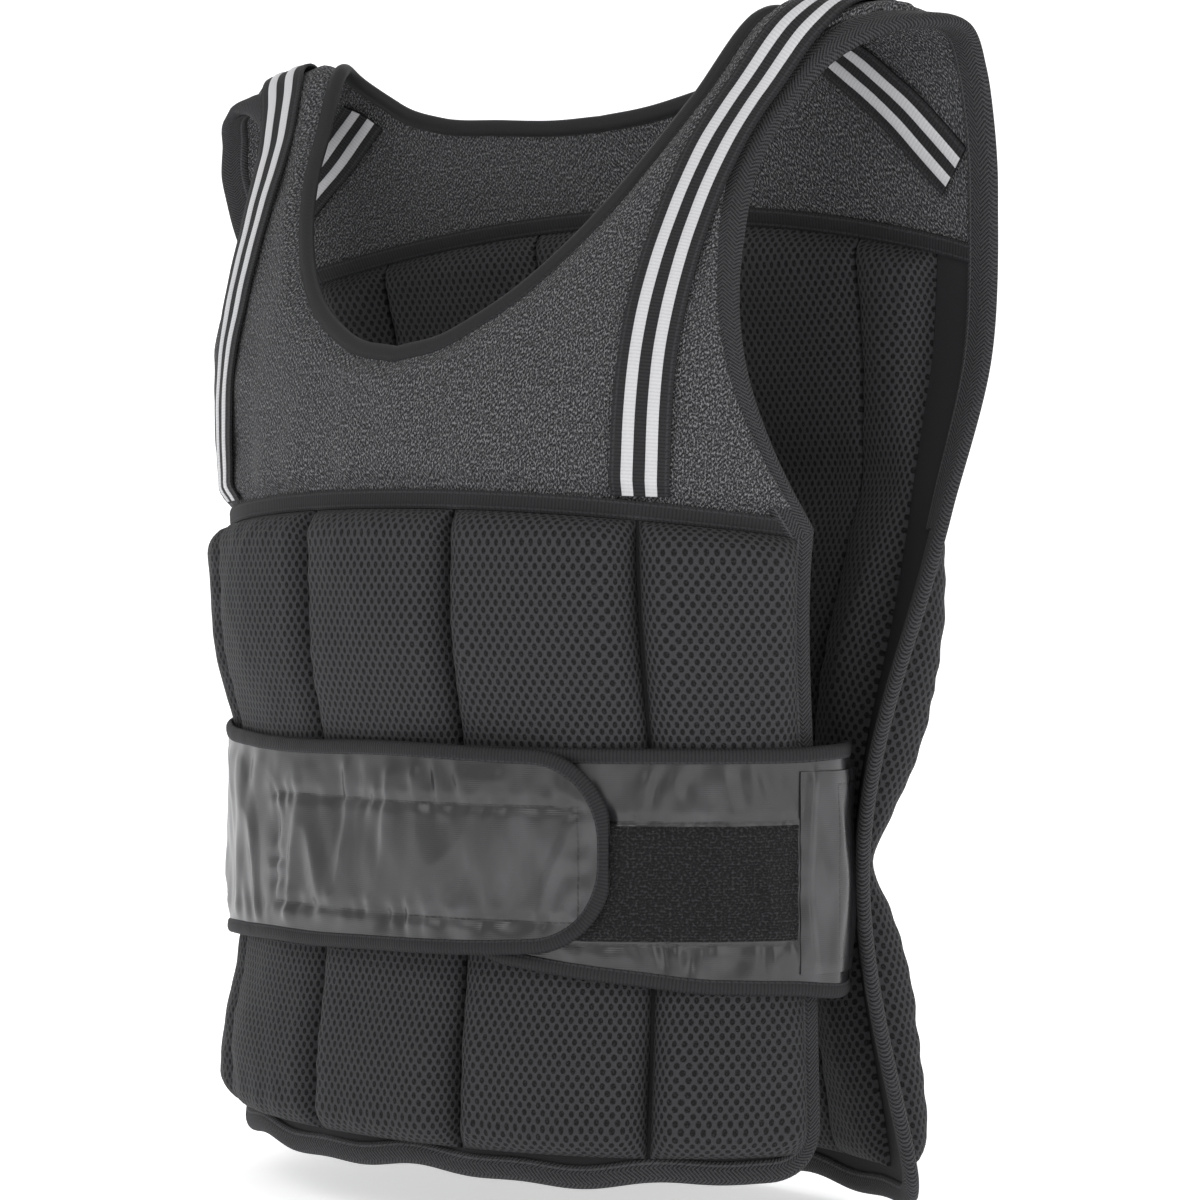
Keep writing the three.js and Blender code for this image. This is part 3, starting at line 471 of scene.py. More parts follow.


# Cloth material: look holds greys as they show on screen, the weave's group and sizes in metres,
# how deep its relief is, how much the fibres vary, on the satin broad painted sheen, and rows of stitches
def clothMaterial(name, look, stitches=()):
    material = bpy.data.materials.new(name)
    material.use_nodes = True
    tree = material.node_tree
    shader = tree.nodes["Principled BSDF"]
    shader.inputs["Roughness"].default_value = look["roughness"]
    shader.inputs["Sheen Weight"].default_value = look.get("sheen", 0)
    shader.inputs["Sheen Roughness"].default_value = 0.5
    shader.inputs["Specular IOR Level"].default_value = look.get("specular", 0.3)
    coordinates = addNode(tree, "ShaderNodeUVMap", uv_map="UVMap").outputs[0]
    weave, weaveHeight = useGroup(tree, look["weave"], coordinates, **look["weaveSizes"])
    grainAndSheen, grainHeight = useGroup(tree, "grainAndSheen", coordinates, **look["grainAndSheenSizes"])
    color = mixColor(tree, weave, tint(look["dark"]), tint(look["light"]))
    grainAndSheenShare = calc(tree, "MULTIPLY", grainAndSheen, look["grainAndSheen"])
    # Lighter fibres mixed in; on the satin these are patches of painted sheen standing in for reflections
    color = mixColor(tree, grainAndSheenShare, color, tint(look["fibreAndSheen"]))
    height = calc(tree, "ADD", weaveHeight, calc(tree, "MULTIPLY", grainHeight, look["grainRelief"]))
    for row in stitches:
        thread, line = useGroup(tree, "stitch", coordinates, **row)
        color = mixColor(tree, thread, color, tint(look.get("thread", look["light"] + 12)))
        height = calc(tree, "ADD", height, calc(tree, "MULTIPLY", line, stitchRelief))
    bump = addNode(tree, "ShaderNodeBump")
    bump.inputs["Strength"].default_value = bumpStrength
    bump.inputs["Distance"].default_value = look["relief"]
    tree.links.new(height, bump.inputs["Height"])
    tree.links.new(bump.outputs[0], shader.inputs["Normal"])
    tree.links.new(color, shader.inputs["Base Color"])
    return material


looks = {
    "denim": {
        "dark": 13, "light": 60, "fibreAndSheen": 170, "roughness": 0.9, "sheen": 0.04,
        "weave": "twill", "weaveSizes": {"Thread": 0.0021}, "relief": 0.0004,
        "grainAndSheen": 0.55, "grainAndSheenSizes": {"Grain_X": 0.0007, "Grain_Y": 0.0013}, "grainRelief": 0.4,
    },
    "airMesh": {
        "dark": 3, "light": 54, "fibreAndSheen": 72, "roughness": 0.8, "sheen": 0.02,
        "weave": "meshHoles", "weaveSizes": {"Hole": 0.19}, "relief": 0.0009,
        "grainAndSheen": 0.3, "grainAndSheenSizes": {"Grain_X": 0.0007, "Grain_Y": 0.0007}, "grainRelief": 0.3,
    },
    "lining": {
        "dark": 28, "light": 38, "fibreAndSheen": 44, "roughness": 0.75,
        "weave": "twill", "weaveSizes": {"Thread": 0.0008}, "relief": 0.0001,
        "grainAndSheen": 0.3, "grainAndSheenSizes": {"Grain_X": 0.001, "Grain_Y": 0.001}, "grainRelief": 0.3,
    },
    "herringbone": {
        "dark": 14, "light": 68, "fibreAndSheen": 82, "roughness": 0.85, "sheen": 0.02,
        "weave": "twill", "weaveSizes": {"Thread": 0.0019, "Chevron": 0.0045}, "relief": 0.0005,
        "grainAndSheen": 0.3, "grainAndSheenSizes": {"Grain_X": 0.0012, "Grain_Y": 0.0012}, "grainRelief": 0.4,
    },
    "neckBinding": {
        "dark": 22, "light": 30, "fibreAndSheen": 36, "roughness": 0.6, "sheen": 0.02,
        "weave": "ribs", "weaveSizes": {"Rib": 0.0009}, "relief": 0.0001,
        "grainAndSheen": 0.3, "grainAndSheenSizes": {"Grain_X": 0.001, "Grain_Y": 0.001}, "grainRelief": 0.3,
    },
    "tape": {
        "dark": 18, "light": 38, "fibreAndSheen": 44, "roughness": 0.7,
        "weave": "ribs", "weaveSizes": {"Rib": 0.0016}, "relief": 0.00025,
        "grainAndSheen": 0.3, "grainAndSheenSizes": {"Grain_X": 0.001, "Grain_Y": 0.001}, "grainRelief": 0.3,
    },
    "reflective": {
        "dark": 190, "light": 206, "fibreAndSheen": 216, "roughness": 0.4, "specular": 0.4,
        "weave": "ribs", "weaveSizes": {"Rib": 0.0016}, "relief": 0.0001,
        "grainAndSheen": 0.4, "grainAndSheenSizes": {"Grain_X": 0.0006, "Grain_Y": 0.0006}, "grainRelief": 0.5,
    },
    # The satin's lighter patches, about 30 by 60 mm, are painted sheen in its base colour in place of
    # reflections
    "satin": {
        "dark": 27, "light": 32, "fibreAndSheen": 68, "roughness": 0.28, "specular": 0.75,
        "weave": "ribs", "weaveSizes": {"Rib": 0.0009}, "relief": 0.00004, "thread": 12,
        "grainAndSheen": 0.7, "grainAndSheenSizes": {"Grain_X": 0.03, "Grain_Y": 0.06}, "grainRelief": 0.4,
    },
    "loop": {
        "dark": 13, "light": 21, "fibreAndSheen": 62, "roughness": 0.95, "sheen": 0.04,
        "weave": "ribs", "weaveSizes": {"Rib": 0.0012}, "relief": 0.001,
        "grainAndSheen": 0.8, "grainAndSheenSizes": {"Grain_X": 0.0012, "Grain_Y": 0.0012}, "grainRelief": 2.0,
    },
}


def edgeStitch(offset):
    return {"Centre_X": offset / 1000, "Half_X": 0.0, "Half_Y": 100.0}


def sideStitch(spread):
    return {"Half_X": spread / 1000, "Half_Y": 100.0}


def boxStitch(lowX, highX, lowY, highY):
    return {
        "Centre_X": (lowX + highX) / 2000, "Half_X": (highX - lowX) / 2000,
        "Centre_Y": (lowY + highY) / 2000, "Half_Y": (highY - lowY) / 2000,
    }


denim = clothMaterial("denimCloth", looks["denim"])
airMesh = clothMaterial("airMeshCloth", looks["airMesh"])
lining = clothMaterial("liningCloth", looks["lining"])
armBindingCloth = clothMaterial("armBindingCloth", looks["herringbone"], [edgeStitch(10.2)])
edgeBindingCloth = clothMaterial("edgeBindingCloth", looks["herringbone"], [edgeStitch(6.4)])
beltBindingCloth = clothMaterial("beltBindingCloth", looks["tape"], [edgeStitch(4.6)])
neckBindingCloth = clothMaterial("neckBindingCloth", looks["neckBinding"], [edgeStitch(5.6)])
seamTapeCloth = clothMaterial("seamTapeCloth", looks["tape"], [sideStitch(2.9)])
shoulderTapeCloth = clothMaterial("shoulderTapeCloth", looks["tape"], [sideStitch(11)])
reflective = clothMaterial("reflectiveFilm", looks["reflective"])
loopCloth = clothMaterial("loopCloth", looks["loop"])
print("materials made")


def frontSeamAt(across):
    return front["seam"] - front["seamDroop"] * (across / front["half"]) ** 2


def backSeamAt(across):
    return back["seam"] + back["seamDroop"] * (across / back["seamHalf"]) ** 2


def cornerCut(fromEnd, radius):
    inside = np.clip(radius - fromEnd, 0, radius)
    return radius - np.sqrt(radius**2 - inside**2)


def frontHalfAt(along):
    waist = front["waist"] * np.sin(math.pi * np.clip(along, 0, 290) / 290)
    return front["half"] - waist - cornerCut(along - front["hem"], front["corner"])


sideCurve = smoothPath(backSide, 200)


def backHalfAt(along):
    half = np.interp(along, sideCurve[:, 1], sideCurve[:, 0])
    return half - cornerCut(back["hem"] - along, back["corner"])


# Small waves of the hem
def hemWave(across):
    return 1.6 * np.sin(across / 21 + 0.6) + 0.9 * np.sin(across / 9.3)


def addPanel(name, halfAt, lowAt, highAt, waved, node):
    def place(u, v, outer):
        side = 2 * u - 1
        guess = side * 200
        along = lowAt(guess) + (highAt(guess) - lowAt(guess)) * v
        across = side * halfAt(along)
        along = along + hemWave(across) * smoothStep(40, 0, np.abs(along - waved))
        out = np.where(outer, cloth["panelThickness"], 0)
        out = out + 0.5 * lumps(across, along, 70, 3)
        return formPoints(across, along, out), across, along

    return addSlab(name, 110, 90, place, lining, [node])


# A level edge, as a function of across like the seams are
def levelAt(along):
    return lambda across: along + 0 * across


addPanel("frontLining", frontHalfAt, levelAt(front["hem"]), frontSeamAt, front["hem"], "front_panel")
addPanel("backLining", backHalfAt, backSeamAt, levelAt(back["hem"]), back["hem"], "back_panel")


# Heights of a row of pads at places along the garment
def heightCurve(rows):
    places = np.array([row[0] for row in rows], float)
    heights = np.array([[row[1]] for row in rows], float)
    return lambda along: hermite(places, heights, np.clip(along, places[0], places[-1]))[:, 0]


tall = cloth["pocketHeight"]
low = cloth["pocketHeightUnderBelt"]
upperHeights = heightCurve([
    (150, low), (190, low), (206, 10), (222, tall), (262, tall), (300, tall * 0.9),
])
lowerHeights = heightCurve([
    (0, tall * 0.85), (20, tall), (52, tall), (74, 9), (92, low), (150, low),
])


def backHeights(full):
    rows = [(640, full)]
    for split in back["rows"]:
        rows += [(split - 24, full), (split, full * 0.32), (split + 24, full)]
    return heightCurve(rows + [(1100, full)])


pad = {
    "sideRound": 11,
    "endRound": 12,
    "puckerShare": 0.06,
    "lumpHeight": 0.7,
    "fineLumpHeight": 0.25,
    "edgeHeight": 1.2,
    "weaveReach": 18,
    "seamGap": 0.8,
    "tapeGap": 4.5,
    "lowerHemGap": 3,
    "innerSeamKept": 0.8,
}


# Padded pocket: a closed pillow between two column seams and two cross seams. Its rim is drawn in
# by puckers, its middle is lumpy from the filling, and kept is the share of the height that stays
# at its left and right seams.
def addPad(name, edges, ends, heights, base, direction, seed, size, node, pucker=1.0, kept=(0, 0)):
    def place(u, v, outer):
        lowEnd, highEnd = ends
        middle = sum(edges(lowEnd(u * 0))) / 2
        along = lowEnd(middle) + (highEnd(middle) - lowEnd(middle)) * v
        left, right = edges(along)
        across = left + (right - left) * u
        along = lowEnd(across) + (highEnd(across) - lowEnd(across)) * v
        fromSide = np.minimum(u, 1 - u) * (right - left)
        fromEnd = np.minimum(v, 1 - v) * np.abs(highEnd(across) - lowEnd(across))
        atLeft = kept[0] + (1 - kept[0]) * roundOff(u * (right - left), pad["sideRound"])
        atRight = kept[1] + (1 - kept[1]) * roundOff((1 - u) * (right - left), pad["sideRound"])
        rise = atLeft * atRight * roundOff(fromEnd, pad["endRound"])
        crown = 0.8 + 0.2 * np.sin(math.pi * u)
        sidePucker = np.exp(-fromSide / 11) * np.sin(along / 2.6 + 2 * lumps(across, along, 40, seed + 5))
        endPucker = np.exp(-fromEnd / 13) * np.sin(across / 2.9 + 2 * lumps(across, along, 40, seed + 9))
        puckered = 1 + pad["puckerShare"] * pucker * (sidePucker + endPucker)
        height = heights(along) * rise * crown * puckered
        lumpy = pad["lumpHeight"] * lumps(across, along, 60, seed)
        lumpy = lumpy + pad["fineLumpHeight"] * lumps(across, along, 21, seed + 2)
        raised = pad["edgeHeight"] + np.maximum(height + rise * lumpy, 0)
        out = base + direction * np.where(outer, raised, 0)
        fall = 0.7 * (cloth["pocketHeight"] * 0.8 - raised)
        weaveX = across + np.sign(u - 0.5) * fall * smoothStep(pad["weaveReach"], 3, fromSide)
        weaveY = along + np.sign(v - 0.5) * fall * smoothStep(pad["weaveReach"], 3, fromEnd)
        return formPoints(across, along, out), weaveX, weaveY

    piece = addSlab(name, size[0], size[1], place, airMesh, [node], 80)
    return piece


def columnRange(column, halfAt, margin):
    gap = cloth["seamWidth"] / 2

    def edges(along):
        outerEdge = halfAt(along) - margin - gap
        left = -outerEdge if column == 0 else columnEdges[column - 1] + gap + 0 * along
        right = outerEdge if column == 4 else columnEdges[column] - gap + 0 * along
        return left, right

    return edges


padBase = cloth["panelThickness"] + 0.2
upperEnds = (levelAt(front["split"] + pad["seamGap"]), lambda x: frontSeamAt(x) - pad["tapeGap"])
lowerEnds = (levelAt(front["hemMargin"] - pad["lowerHemGap"]), levelAt(front["split"] - pad["seamGap"]))
backEnds = (lambda x: backSeamAt(x) + pad["tapeGap"], levelAt(back["hem"] - back["hemMargin"]))
outerHeights = backHeights(cloth["backPadHeight"])
innerHeights = backHeights(cloth["innerPadHeight"])
for column in range(5):
    number = column + 1
    edges = columnRange(column, frontHalfAt, front["columnMargin"])
    addPad(f"frontPocketUpper{number}", edges, upperEnds, upperHeights, padBase, 1,
           10 + column, (48, 70), f"front_pocket_upper_{number}")
    addPad(f"frontPocketLower{number}", edges, lowerEnds, lowerHeights, padBase, 1,
           30 + column, (48, 70), f"front_pocket_lower_{number}")
    edges = columnRange(column, backHalfAt, back["columnMargin"])
    addPad(f"backPadOuter{number}", edges, backEnds, outerHeights, padBase, 1,
           50 + column, (44, 150), f"back_pad_outer_{number}", 0.7)
    edges = columnRange(column, backHalfAt, back["innerMargin"])
    kept = (pad["innerSeamKept"] if column > 0 else 0, pad["innerSeamKept"] if column < 4 else 0)
    addPad(f"backPadInner{number}", edges, backEnds, innerHeights, -0.2, -1,
           70 + column, (44, 150), f"back_pad_inner_{number}", 0.5, kept)
print("panels and pads made")


# Yokes: spokes from the neck edge out to the armholes and to the seam with the pads
yoke = {
    "neckMargin": 5,
    "armMargin": 11,
    "seamMargin": 4,
    "rise": 10,
    "gather": 0.55,
    "columnWidth": 67,
    "channelDepth": 1.7,
    "channelWidth": 7,
    "channelLength": 60,
}


def mirrored(path):
    return path * np.array([-1, 1])


# Half paths run from the shoulder join to the centre line
def yokeHalf(neck, arm, seamAt, halfAtSeam, cornerShare, steps):
    inner = smoothPath(neck, steps + 1)
    corner = int(round(cornerShare * steps))
    armPart = smoothPath(arm, corner + 1)
    across = np.linspace(halfAtSeam, 0, steps - corner + 1)[1:]
    outer = np.vstack([armPart, np.column_stack([across, seamAt(across)])])
    return inner, outer


def addYoke(name, half, seamAt, node, seed):
    inner, outer = half
    inner = np.vstack([inner, mirrored(inner)[-2::-1]])
    outer = np.vstack([outer, mirrored(outer)[-2::-1]])
    spokes = len(inner) - 1

    def place(u, v, outward):
        k = np.rint(u * spokes).astype(int)
        path = inner[k] + (outer[k] - inner[k]) * v[:, None]
        across, along = path.T
        span = np.linalg.norm(outer[k] - inner[k], axis=1)
        onSeam = np.abs(outer[k][:, 1] - seamAt(outer[k][:, 0])) < 1.5
        fromNeck = v * span
        fromEdge = (1 - v) * span
        fromSeam = np.abs(along - seamAt(across))
        margin = np.where(onSeam, yoke["seamMargin"], yoke["armMargin"])
        padding = smoothStep(yoke["neckMargin"], yoke["neckMargin"] + yoke["rise"], fromNeck)
        padding = padding * smoothStep(margin, margin + yoke["rise"], fromEdge)
        padding = padding * smoothStep(yoke["seamMargin"], yoke["seamMargin"] + yoke["rise"], fromSeam)
        rim = cloth["panelThickness"]
        top = rim + (cloth["yokeThickness"] - rim) * padding
        gather = np.exp(-fromSeam / 22) * np.sin(across / 5.2 + 1.5 * lumps(across, along, 45, seed))
        soft = 0.9 * lumps(across, along, 62, seed + 1) + 0.35 * lumps(across, along, 21, seed + 2)
        # The pocket columns' seams pull soft channels into the denim above them
        column = across / yoke["columnWidth"] - 0.5
        fromColumn = np.abs(column - np.rint(column)) * yoke["columnWidth"]
        channel = np.exp(-((fromColumn / yoke["channelWidth"]) ** 2) - fromSeam / yoke["channelLength"])
        top = top + padding * (yoke["gather"] * gather * 2 + soft - yoke["channelDepth"] * channel)
        bottom = 0.4 * lumps(across, along, 55, seed + 4) * padding
        out = np.where(outward, top, bottom)
        return formPoints(across, along, out), across, along

    piece = addSlab(name, spokes, 44, place, denim, [node], 70)
    return piece


backCorner = float(np.interp(668, sideCurve[:, 1], sideCurve[:, 0]))
frontHalf = yokeHalf(neckFront[::-1], armFront[::-1], frontSeamAt, front["half"], 0.62, 110)
backArm = armBack[:-1] + [(backCorner, float(backSeamAt(backCorner)))]
backHalf = yokeHalf(neckBack, backArm, backSeamAt, backCorner, 0.25, 90)
addYoke("frontYoke", frontHalf, frontSeamAt, "front_yoke", 5)
addYoke("backYoke", backHalf, backSeamAt, "back_yoke", 8)

# Bindings
bindings = {
    "neckHalfWidth": 4.1,
    "neckHalfHeight": 3.3,
    "armWidth": 12.5,
    "edgeWidth": 8,
    "thickness": 1.1,
    "swell": 0.5,
}
middle = cloth["panelThickness"] / 2
neckHalf = smoothPath(neckFront + neckBack[1:], 170)
neckLoop = np.vstack([neckHalf[::-1], mirrored(neckHalf)[1:-1]])
neckShape = roundSection(2.2, bindings["neckHalfWidth"], bindings["neckHalfHeight"], middle)
addSweep("neckBinding", withInward(neckLoop, True), neckShape, formPoints, True,
         neckBindingCloth, ["neck_binding"])

armShape = foldedSection(bindings["armWidth"], -0.6, cloth["panelThickness"] + 0.6,
                         bindings["thickness"], bindings["swell"])
backArmEdge = [point for point in backSide if point[1] < back["armholeBottom"]]
armPath = smoothPath(armFront + armBack[1:] + backArmEdge[1:] + [backSide[3]], 260)
addSweep("armholeBindingLeft", withInward(armPath), armShape, formPoints, False,
         armBindingCloth, ["armhole_binding_left"])
addSweep("armholeBindingRight", withInward(mirrored(armPath), False, -1), armShape, formPoints, False,
         armBindingCloth, ["armhole_binding_right"])


# Path down one side, along the hem and up the other side
def edgePath(halfAt, start, hem, corner, count):
    toward = 1 if hem > start else -1
    bend = np.linspace(0, math.pi / 2, 14)
    straight = np.linspace(start, hem - toward * corner, 40)[:-1]
    bendAlong = hem - toward * corner * (1 - np.sin(bend))
    side = np.concatenate([straight, bendAlong])
    half = np.column_stack([halfAt(side), side])
    hemEnd = halfAt(np.array([float(hem)]))[0]
    hemAcross = np.linspace(hemEnd, -hemEnd, 60)[1:-1]
    bottom = np.column_stack([hemAcross, np.full(len(hemAcross), float(hem))])
    path = np.vstack([half, bottom, mirrored(half)[::-1]])
    lengths = runningLength(path)
    places = np.linspace(0, lengths[-1], count)
    path = np.column_stack([np.interp(places, lengths, path[:, k]) for k in range(2)])
    path[:, 1] += hemWave(path[:, 0]) * smoothStep(40, 0, np.abs(path[:, 1] - hem))
    return path


edgeShape = foldedSection(bindings["edgeWidth"], -0.5, cloth["panelThickness"] + 0.5,
                          bindings["thickness"], bindings["swell"])
frontEdge = edgePath(frontHalfAt, 286, front["hem"], front["corner"], 340)
addSweep("frontEdgeBinding", withInward(frontEdge, False, -1), edgeShape, formPoints, False,
         edgeBindingCloth, ["front_edge_binding"])
backEdge = edgePath(backHalfAt, back["armholeBottom"], back["hem"], back["corner"], 340)
addSweep("backEdgeBinding", withInward(backEdge), edgeShape, formPoints, False,
         edgeBindingCloth, ["back_edge_binding"])
print("yokes and bindings made")


# Flat tape along a path; outAt gives the height of its underside
def addTape(name, path, width, centre, thickness, outAt, direction, material, node):
    turned = withInward(path)
    lengths = runningLength(path)
    steps = len(path) - 1

    def place(u, v, outer):
        k = np.rint(v * steps).astype(int)
        offset = centre + (u - 0.5) * width
        row = turned[k]
        across = row[:, 0] + row[:, 2] * offset
        along = row[:, 1] + row[:, 3] * offset
        edge = 0.35 * np.minimum(1, (width / 2 - np.abs(u - 0.5) * width) / 1.2)
        wave = 0.25 * lumps(across, along, 30, 4)
        out = outAt(across, along) + wave + np.where(outer, thickness + edge, 0)
        return formPoints(across, along, direction * out), offset - centre, lengths[k]

    return addSlab(name, 12, steps, place, material, [node], 50)


tapes = {
    "seamWidth": 8.5,
    "shoulderWidth": 25,
    "stripeWidth": 4.9,
    "stripeOffset": 5,
    "thickness": 1.1,
    "stripeThickness": 0.2,
}
frontLine = np.linspace(-194, 194, 170)
frontTapePath = np.column_stack([frontLine, frontSeamAt(frontLine)])
backLine = np.linspace(-190, 190, 160)
backTapePath = np.column_stack([backLine, backSeamAt(backLine)])


def seamRest(across, along):
    return np.full_like(across, cloth["panelThickness"] + 0.4)


addTape("frontSeamTape", frontTapePath, tapes["seamWidth"], 0, tapes["thickness"], seamRest, 1,
        seamTapeCloth, "front_seam_tape")
addTape("backSeamTapeOuter", backTapePath, tapes["seamWidth"], 0, tapes["thickness"], seamRest, 1,
        seamTapeCloth, "back_seam_tape_outer")
addTape("backSeamTapeInner", backTapePath, tapes["seamWidth"], 0, tapes["thickness"],
        lambda across, along: np.full_like(across, 0.4), -1, seamTapeCloth, "back_seam_tape_inner")


# The shoulder tapes lie on the padding and come down to the seams at both ends
def shoulderRest(across, along):
    down = smoothStep(4, 15, along - frontSeamAt(across))
    down = down * smoothStep(4, 15, backSeamAt(across) - along)
    padded = cloth["yokeThickness"] + 0.2 - cloth["panelThickness"]
    return cloth["panelThickness"] + 1.2 + padded * down


def insideRest(across, along):
    return np.full_like(across, 0.7)


for label, points, rest, direction, count in (
    ("shoulder", shoulderTape, shoulderRest, 1, 150),
    ("inside", insideTape, insideRest, -1, 40),
):
    for side, turn in (("Left", 1), ("Right", -1)):
        path = smoothPath(points, count) * np.array([turn, 1])
        nodeName = f"{label}_tape_{side.lower()}"
        addTape(f"{label}Tape{side}", path, tapes["shoulderWidth"], 0, tapes["thickness"], rest,
                direction, shoulderTapeCloth, nodeName)

        def stripeRest(across, along):
            return rest(across, along) + tapes["thickness"] + 0.35

        for name, offset in (("inner", 1), ("outer", -1)):
            addTape(f"{label}Stripe{side}{name.title()}", path, tapes["stripeWidth"],
                    offset * turn * tapes["stripeOffset"], tapes["stripeThickness"],
                    stripeRest, direction, reflective, f"{label}_stripe_{side.lower()}_{name}")
print("tapes made")


# Belt: across on the front, out off the form, top and bottom above the front hem
belt = {
    "alongFront": 137,
    "alongBack": 950,
    "out": 15.4,
    "overlapOut": 20.4,
    "anchorOut": -6,
    "thickness": 1.8,
    "bindingWidth": 5,
    "cornerRadius": 34,
    "patchLow": -151,
    "hookLow": -143,
    "patchHeight": 50,
    "softWave": 1.4,
    "foldHeight": 1.5,
    "puckerHeight": 0.9,
    "seamDip": 1.1,
    "seamPucker": 0.45,
}
leftBeltRows = [
    (203, 0, 188, 80), (186, 0, 187, 82), (168, 0, 187, 83), (148, 0, 187, 84),
    (126, 0, 187, 87), (100, 0, 187, 90), (72, 0, 187, 94), (38, 0, 187, 99),
]
rightBeltRows = [
    (203, 0, 194, 88), (186, 0, 193, 90), (168, 0, 192, 91), (148, 0, 191, 92),
    (126, 0, 189, 94), (100, 0, 188, 95), (70, 0, 187, 96), (38, 0, 187, 96), (6, 1.5, 188, 97),
    (-30, 5, 188, 98), (-62, 5, 187, 99), (-90, 5, 186, 101), (-114, 5, 184, 103),
]
anchorAcross = [174, 184, 193]


class BeltForm:
    def __init__(self, rows, side):
        self.side = side
        anchor = formPoints(np.array(anchorAcross) * float(side), np.full(3, float(belt["alongBack"])),
                            np.full(3, float(belt["anchorOut"])))
        across = np.array([row[0] for row in rows], float) * side
        outs = np.array([row[1] for row in rows]) + belt["out"]
        front = formPoints(across, np.full(len(rows), float(belt["alongFront"])), outs)
        points = np.vstack([anchor, front])[:, :2]
        steps = runningLength(points)
        fine = np.linspace(0, steps[-1], 600)
        self.curve = hermite(steps, points, fine)
        self.lengths = runningLength(self.curve)
        self.total = self.lengths[-1]
        self.stations = np.interp(steps, fine, self.lengths)
        zero = sections[0]["z"] - shoulderLevel
        self.tops = np.array([rows[0][2]] * 3 + [row[2] for row in rows]) + zero
        self.bottoms = np.array([rows[0][3]] * 3 + [row[3] for row in rows]) + zero
        self.box = None

    def place(self, length, height, out):
        length = np.clip(length, 0, self.total)
        point = np.column_stack([np.interp(length, self.lengths, self.curve[:, k]) for k in range(2)])
        step = 2.0
        ahead = np.clip(length + step, 0, self.total)
        behind = np.clip(length - step, 0, self.total)
        tangent = np.column_stack([
            np.interp(ahead, self.lengths, line) - np.interp(behind, self.lengths, line)
            for line in self.curve.T
        ])
        tangent /= np.linalg.norm(tangent, axis=1)[:, None]
        return np.column_stack([
            point[:, 0] - self.side * tangent[:, 1] * out,
            point[:, 1] + self.side * tangent[:, 0] * out,
            height,
        ])

    def edges(self, length):
        cut = cornerCut(self.total - length, belt["cornerRadius"])
        top = hermite(self.stations, self.tops[:, None], length)[:, 0]
        bottom = hermite(self.stations, self.bottoms[:, None], length)[:, 0]
        return top - cut, bottom + cut

    # Soft waves of the cloth, with small puckers at the binding and along the sewn box
    def ripple(self, length, height, seed):
        top, bottom = self.edges(np.clip(length, 0, self.total))
        fromEdge = np.minimum(top - height, height - bottom)
        strength = np.clip(0.5 + 0.9 * lumps(length, 0 * height, 45, seed + 6), 0, 1.3)
        band = np.exp(-((fromEdge - 14) / 8) ** 2)
        pucker = strength * band * np.sin(length / 2.4 + 2 * lumps(length, height, 50, seed))
        inside = smoothStep(5, 14, fromEdge)
        fold = np.clip(1 - 3 * np.abs(lumps(length, height * 0.2, 44, seed + 2)), 0, 1)
        soft = 0.9 * lumps(length, height, 70, seed + 1) + 0.3 * lumps(length, height * 0.5, 16, seed + 3)
        total = belt["softWave"] * soft * (0.3 + 0.7 * inside) + belt["foldHeight"] * fold * inside
        total = total + belt["puckerHeight"] * pucker
        if self.box is None:
            return total
        lowX, highX, lowY, highY = self.box
        pastX = np.abs(length - (lowX + highX) / 2) - (highX - lowX) / 2
        pastY = np.abs(height - (lowY + highY) / 2) - (highY - lowY) / 2
        fromSeam = np.abs(np.maximum(pastX, pastY))
        run = np.where(pastX > pastY, height, length)
        drawn = np.sin(run / 2.1 + 2 * lumps(length, height, 30, seed + 4))
        drawn = np.exp(-((fromSeam / 6) ** 2)) * drawn
        dip = belt["seamDip"] * np.exp(-((fromSeam / 3) ** 2))
        return total - dip + belt["seamPucker"] * drawn * inside


def addBelt(name, form, material, nodes, seed):
    bend = belt["cornerRadius"]

    def place(u, v, outer):
        straightShare = 0.8
        straight = (form.total - bend) * np.minimum(u / straightShare, 1)
        bending = bend * np.sin(math.pi / 2 * np.clip((u - straightShare) / (1 - straightShare), 0, 1))
        length = straight + bending
        top, bottom = form.edges(length)
        height = bottom + (top - bottom) * v
        out = np.where(outer, 0.5, -0.5) * belt["thickness"] + form.ripple(length, height, seed)
        return form.place(length, height, out), length, height

    addSlab(name, 230, 70, place, material, nodes[:1], 50)
    turn = np.linspace(0, math.pi / 2, 16)
    straightLengths = np.linspace(0, form.total - bend, 130)[:-1]
    lengths = np.concatenate([straightLengths, form.total - bend + bend * np.sin(turn)])
    top, bottom = form.edges(lengths)
    rim = np.linspace(top[-1], bottom[-1], 20)[1:-1]
    path = np.vstack([
        np.column_stack([lengths, top]),
        np.column_stack([np.full(18, form.total), rim]),
        np.column_stack([lengths, bottom])[::-1],
    ])
    places = runningLength(path)
    even = np.linspace(0, places[-1], 330)
    path = np.column_stack([np.interp(even, places, path[:, k]) for k in range(2)])
    shape = foldedSection(belt["bindingWidth"], -1.1, 1.1, 0.7, 0.3)

    def bindingPlace(length, height, out):
        return form.place(length, height, out + form.ripple(length, height, seed))

    addSweep(f"{name}Binding", withInward(path, False, -1), shape, bindingPlace, False,
             beltBindingCloth, nodes[1:], 60)


def addPatch(name, form, start, end, lowEdge, height, side, thickness, material, node, seed, puff=0.0):
    def place(u, v, outer):
        length = start + (end - start) * u
        level = lowEdge + height * v
        fromEdge = np.minimum(np.minimum(u, 1 - u) * (end - start), np.minimum(v, 1 - v) * height)
        swell = puff * roundOff(fromEdge, 5)
        lift = belt["thickness"] / 2 + 0.1 + np.where(outer, thickness + swell, 0)
        out = side * lift + form.ripple(length, level, seed)
        return form.place(length, level, out), length, level

    addSlab(name, 70, 30, place, material, [node], 50)


leftBelt = BeltForm(leftBeltRows, 1)
rightBelt = BeltForm(rightBeltRows, -1)
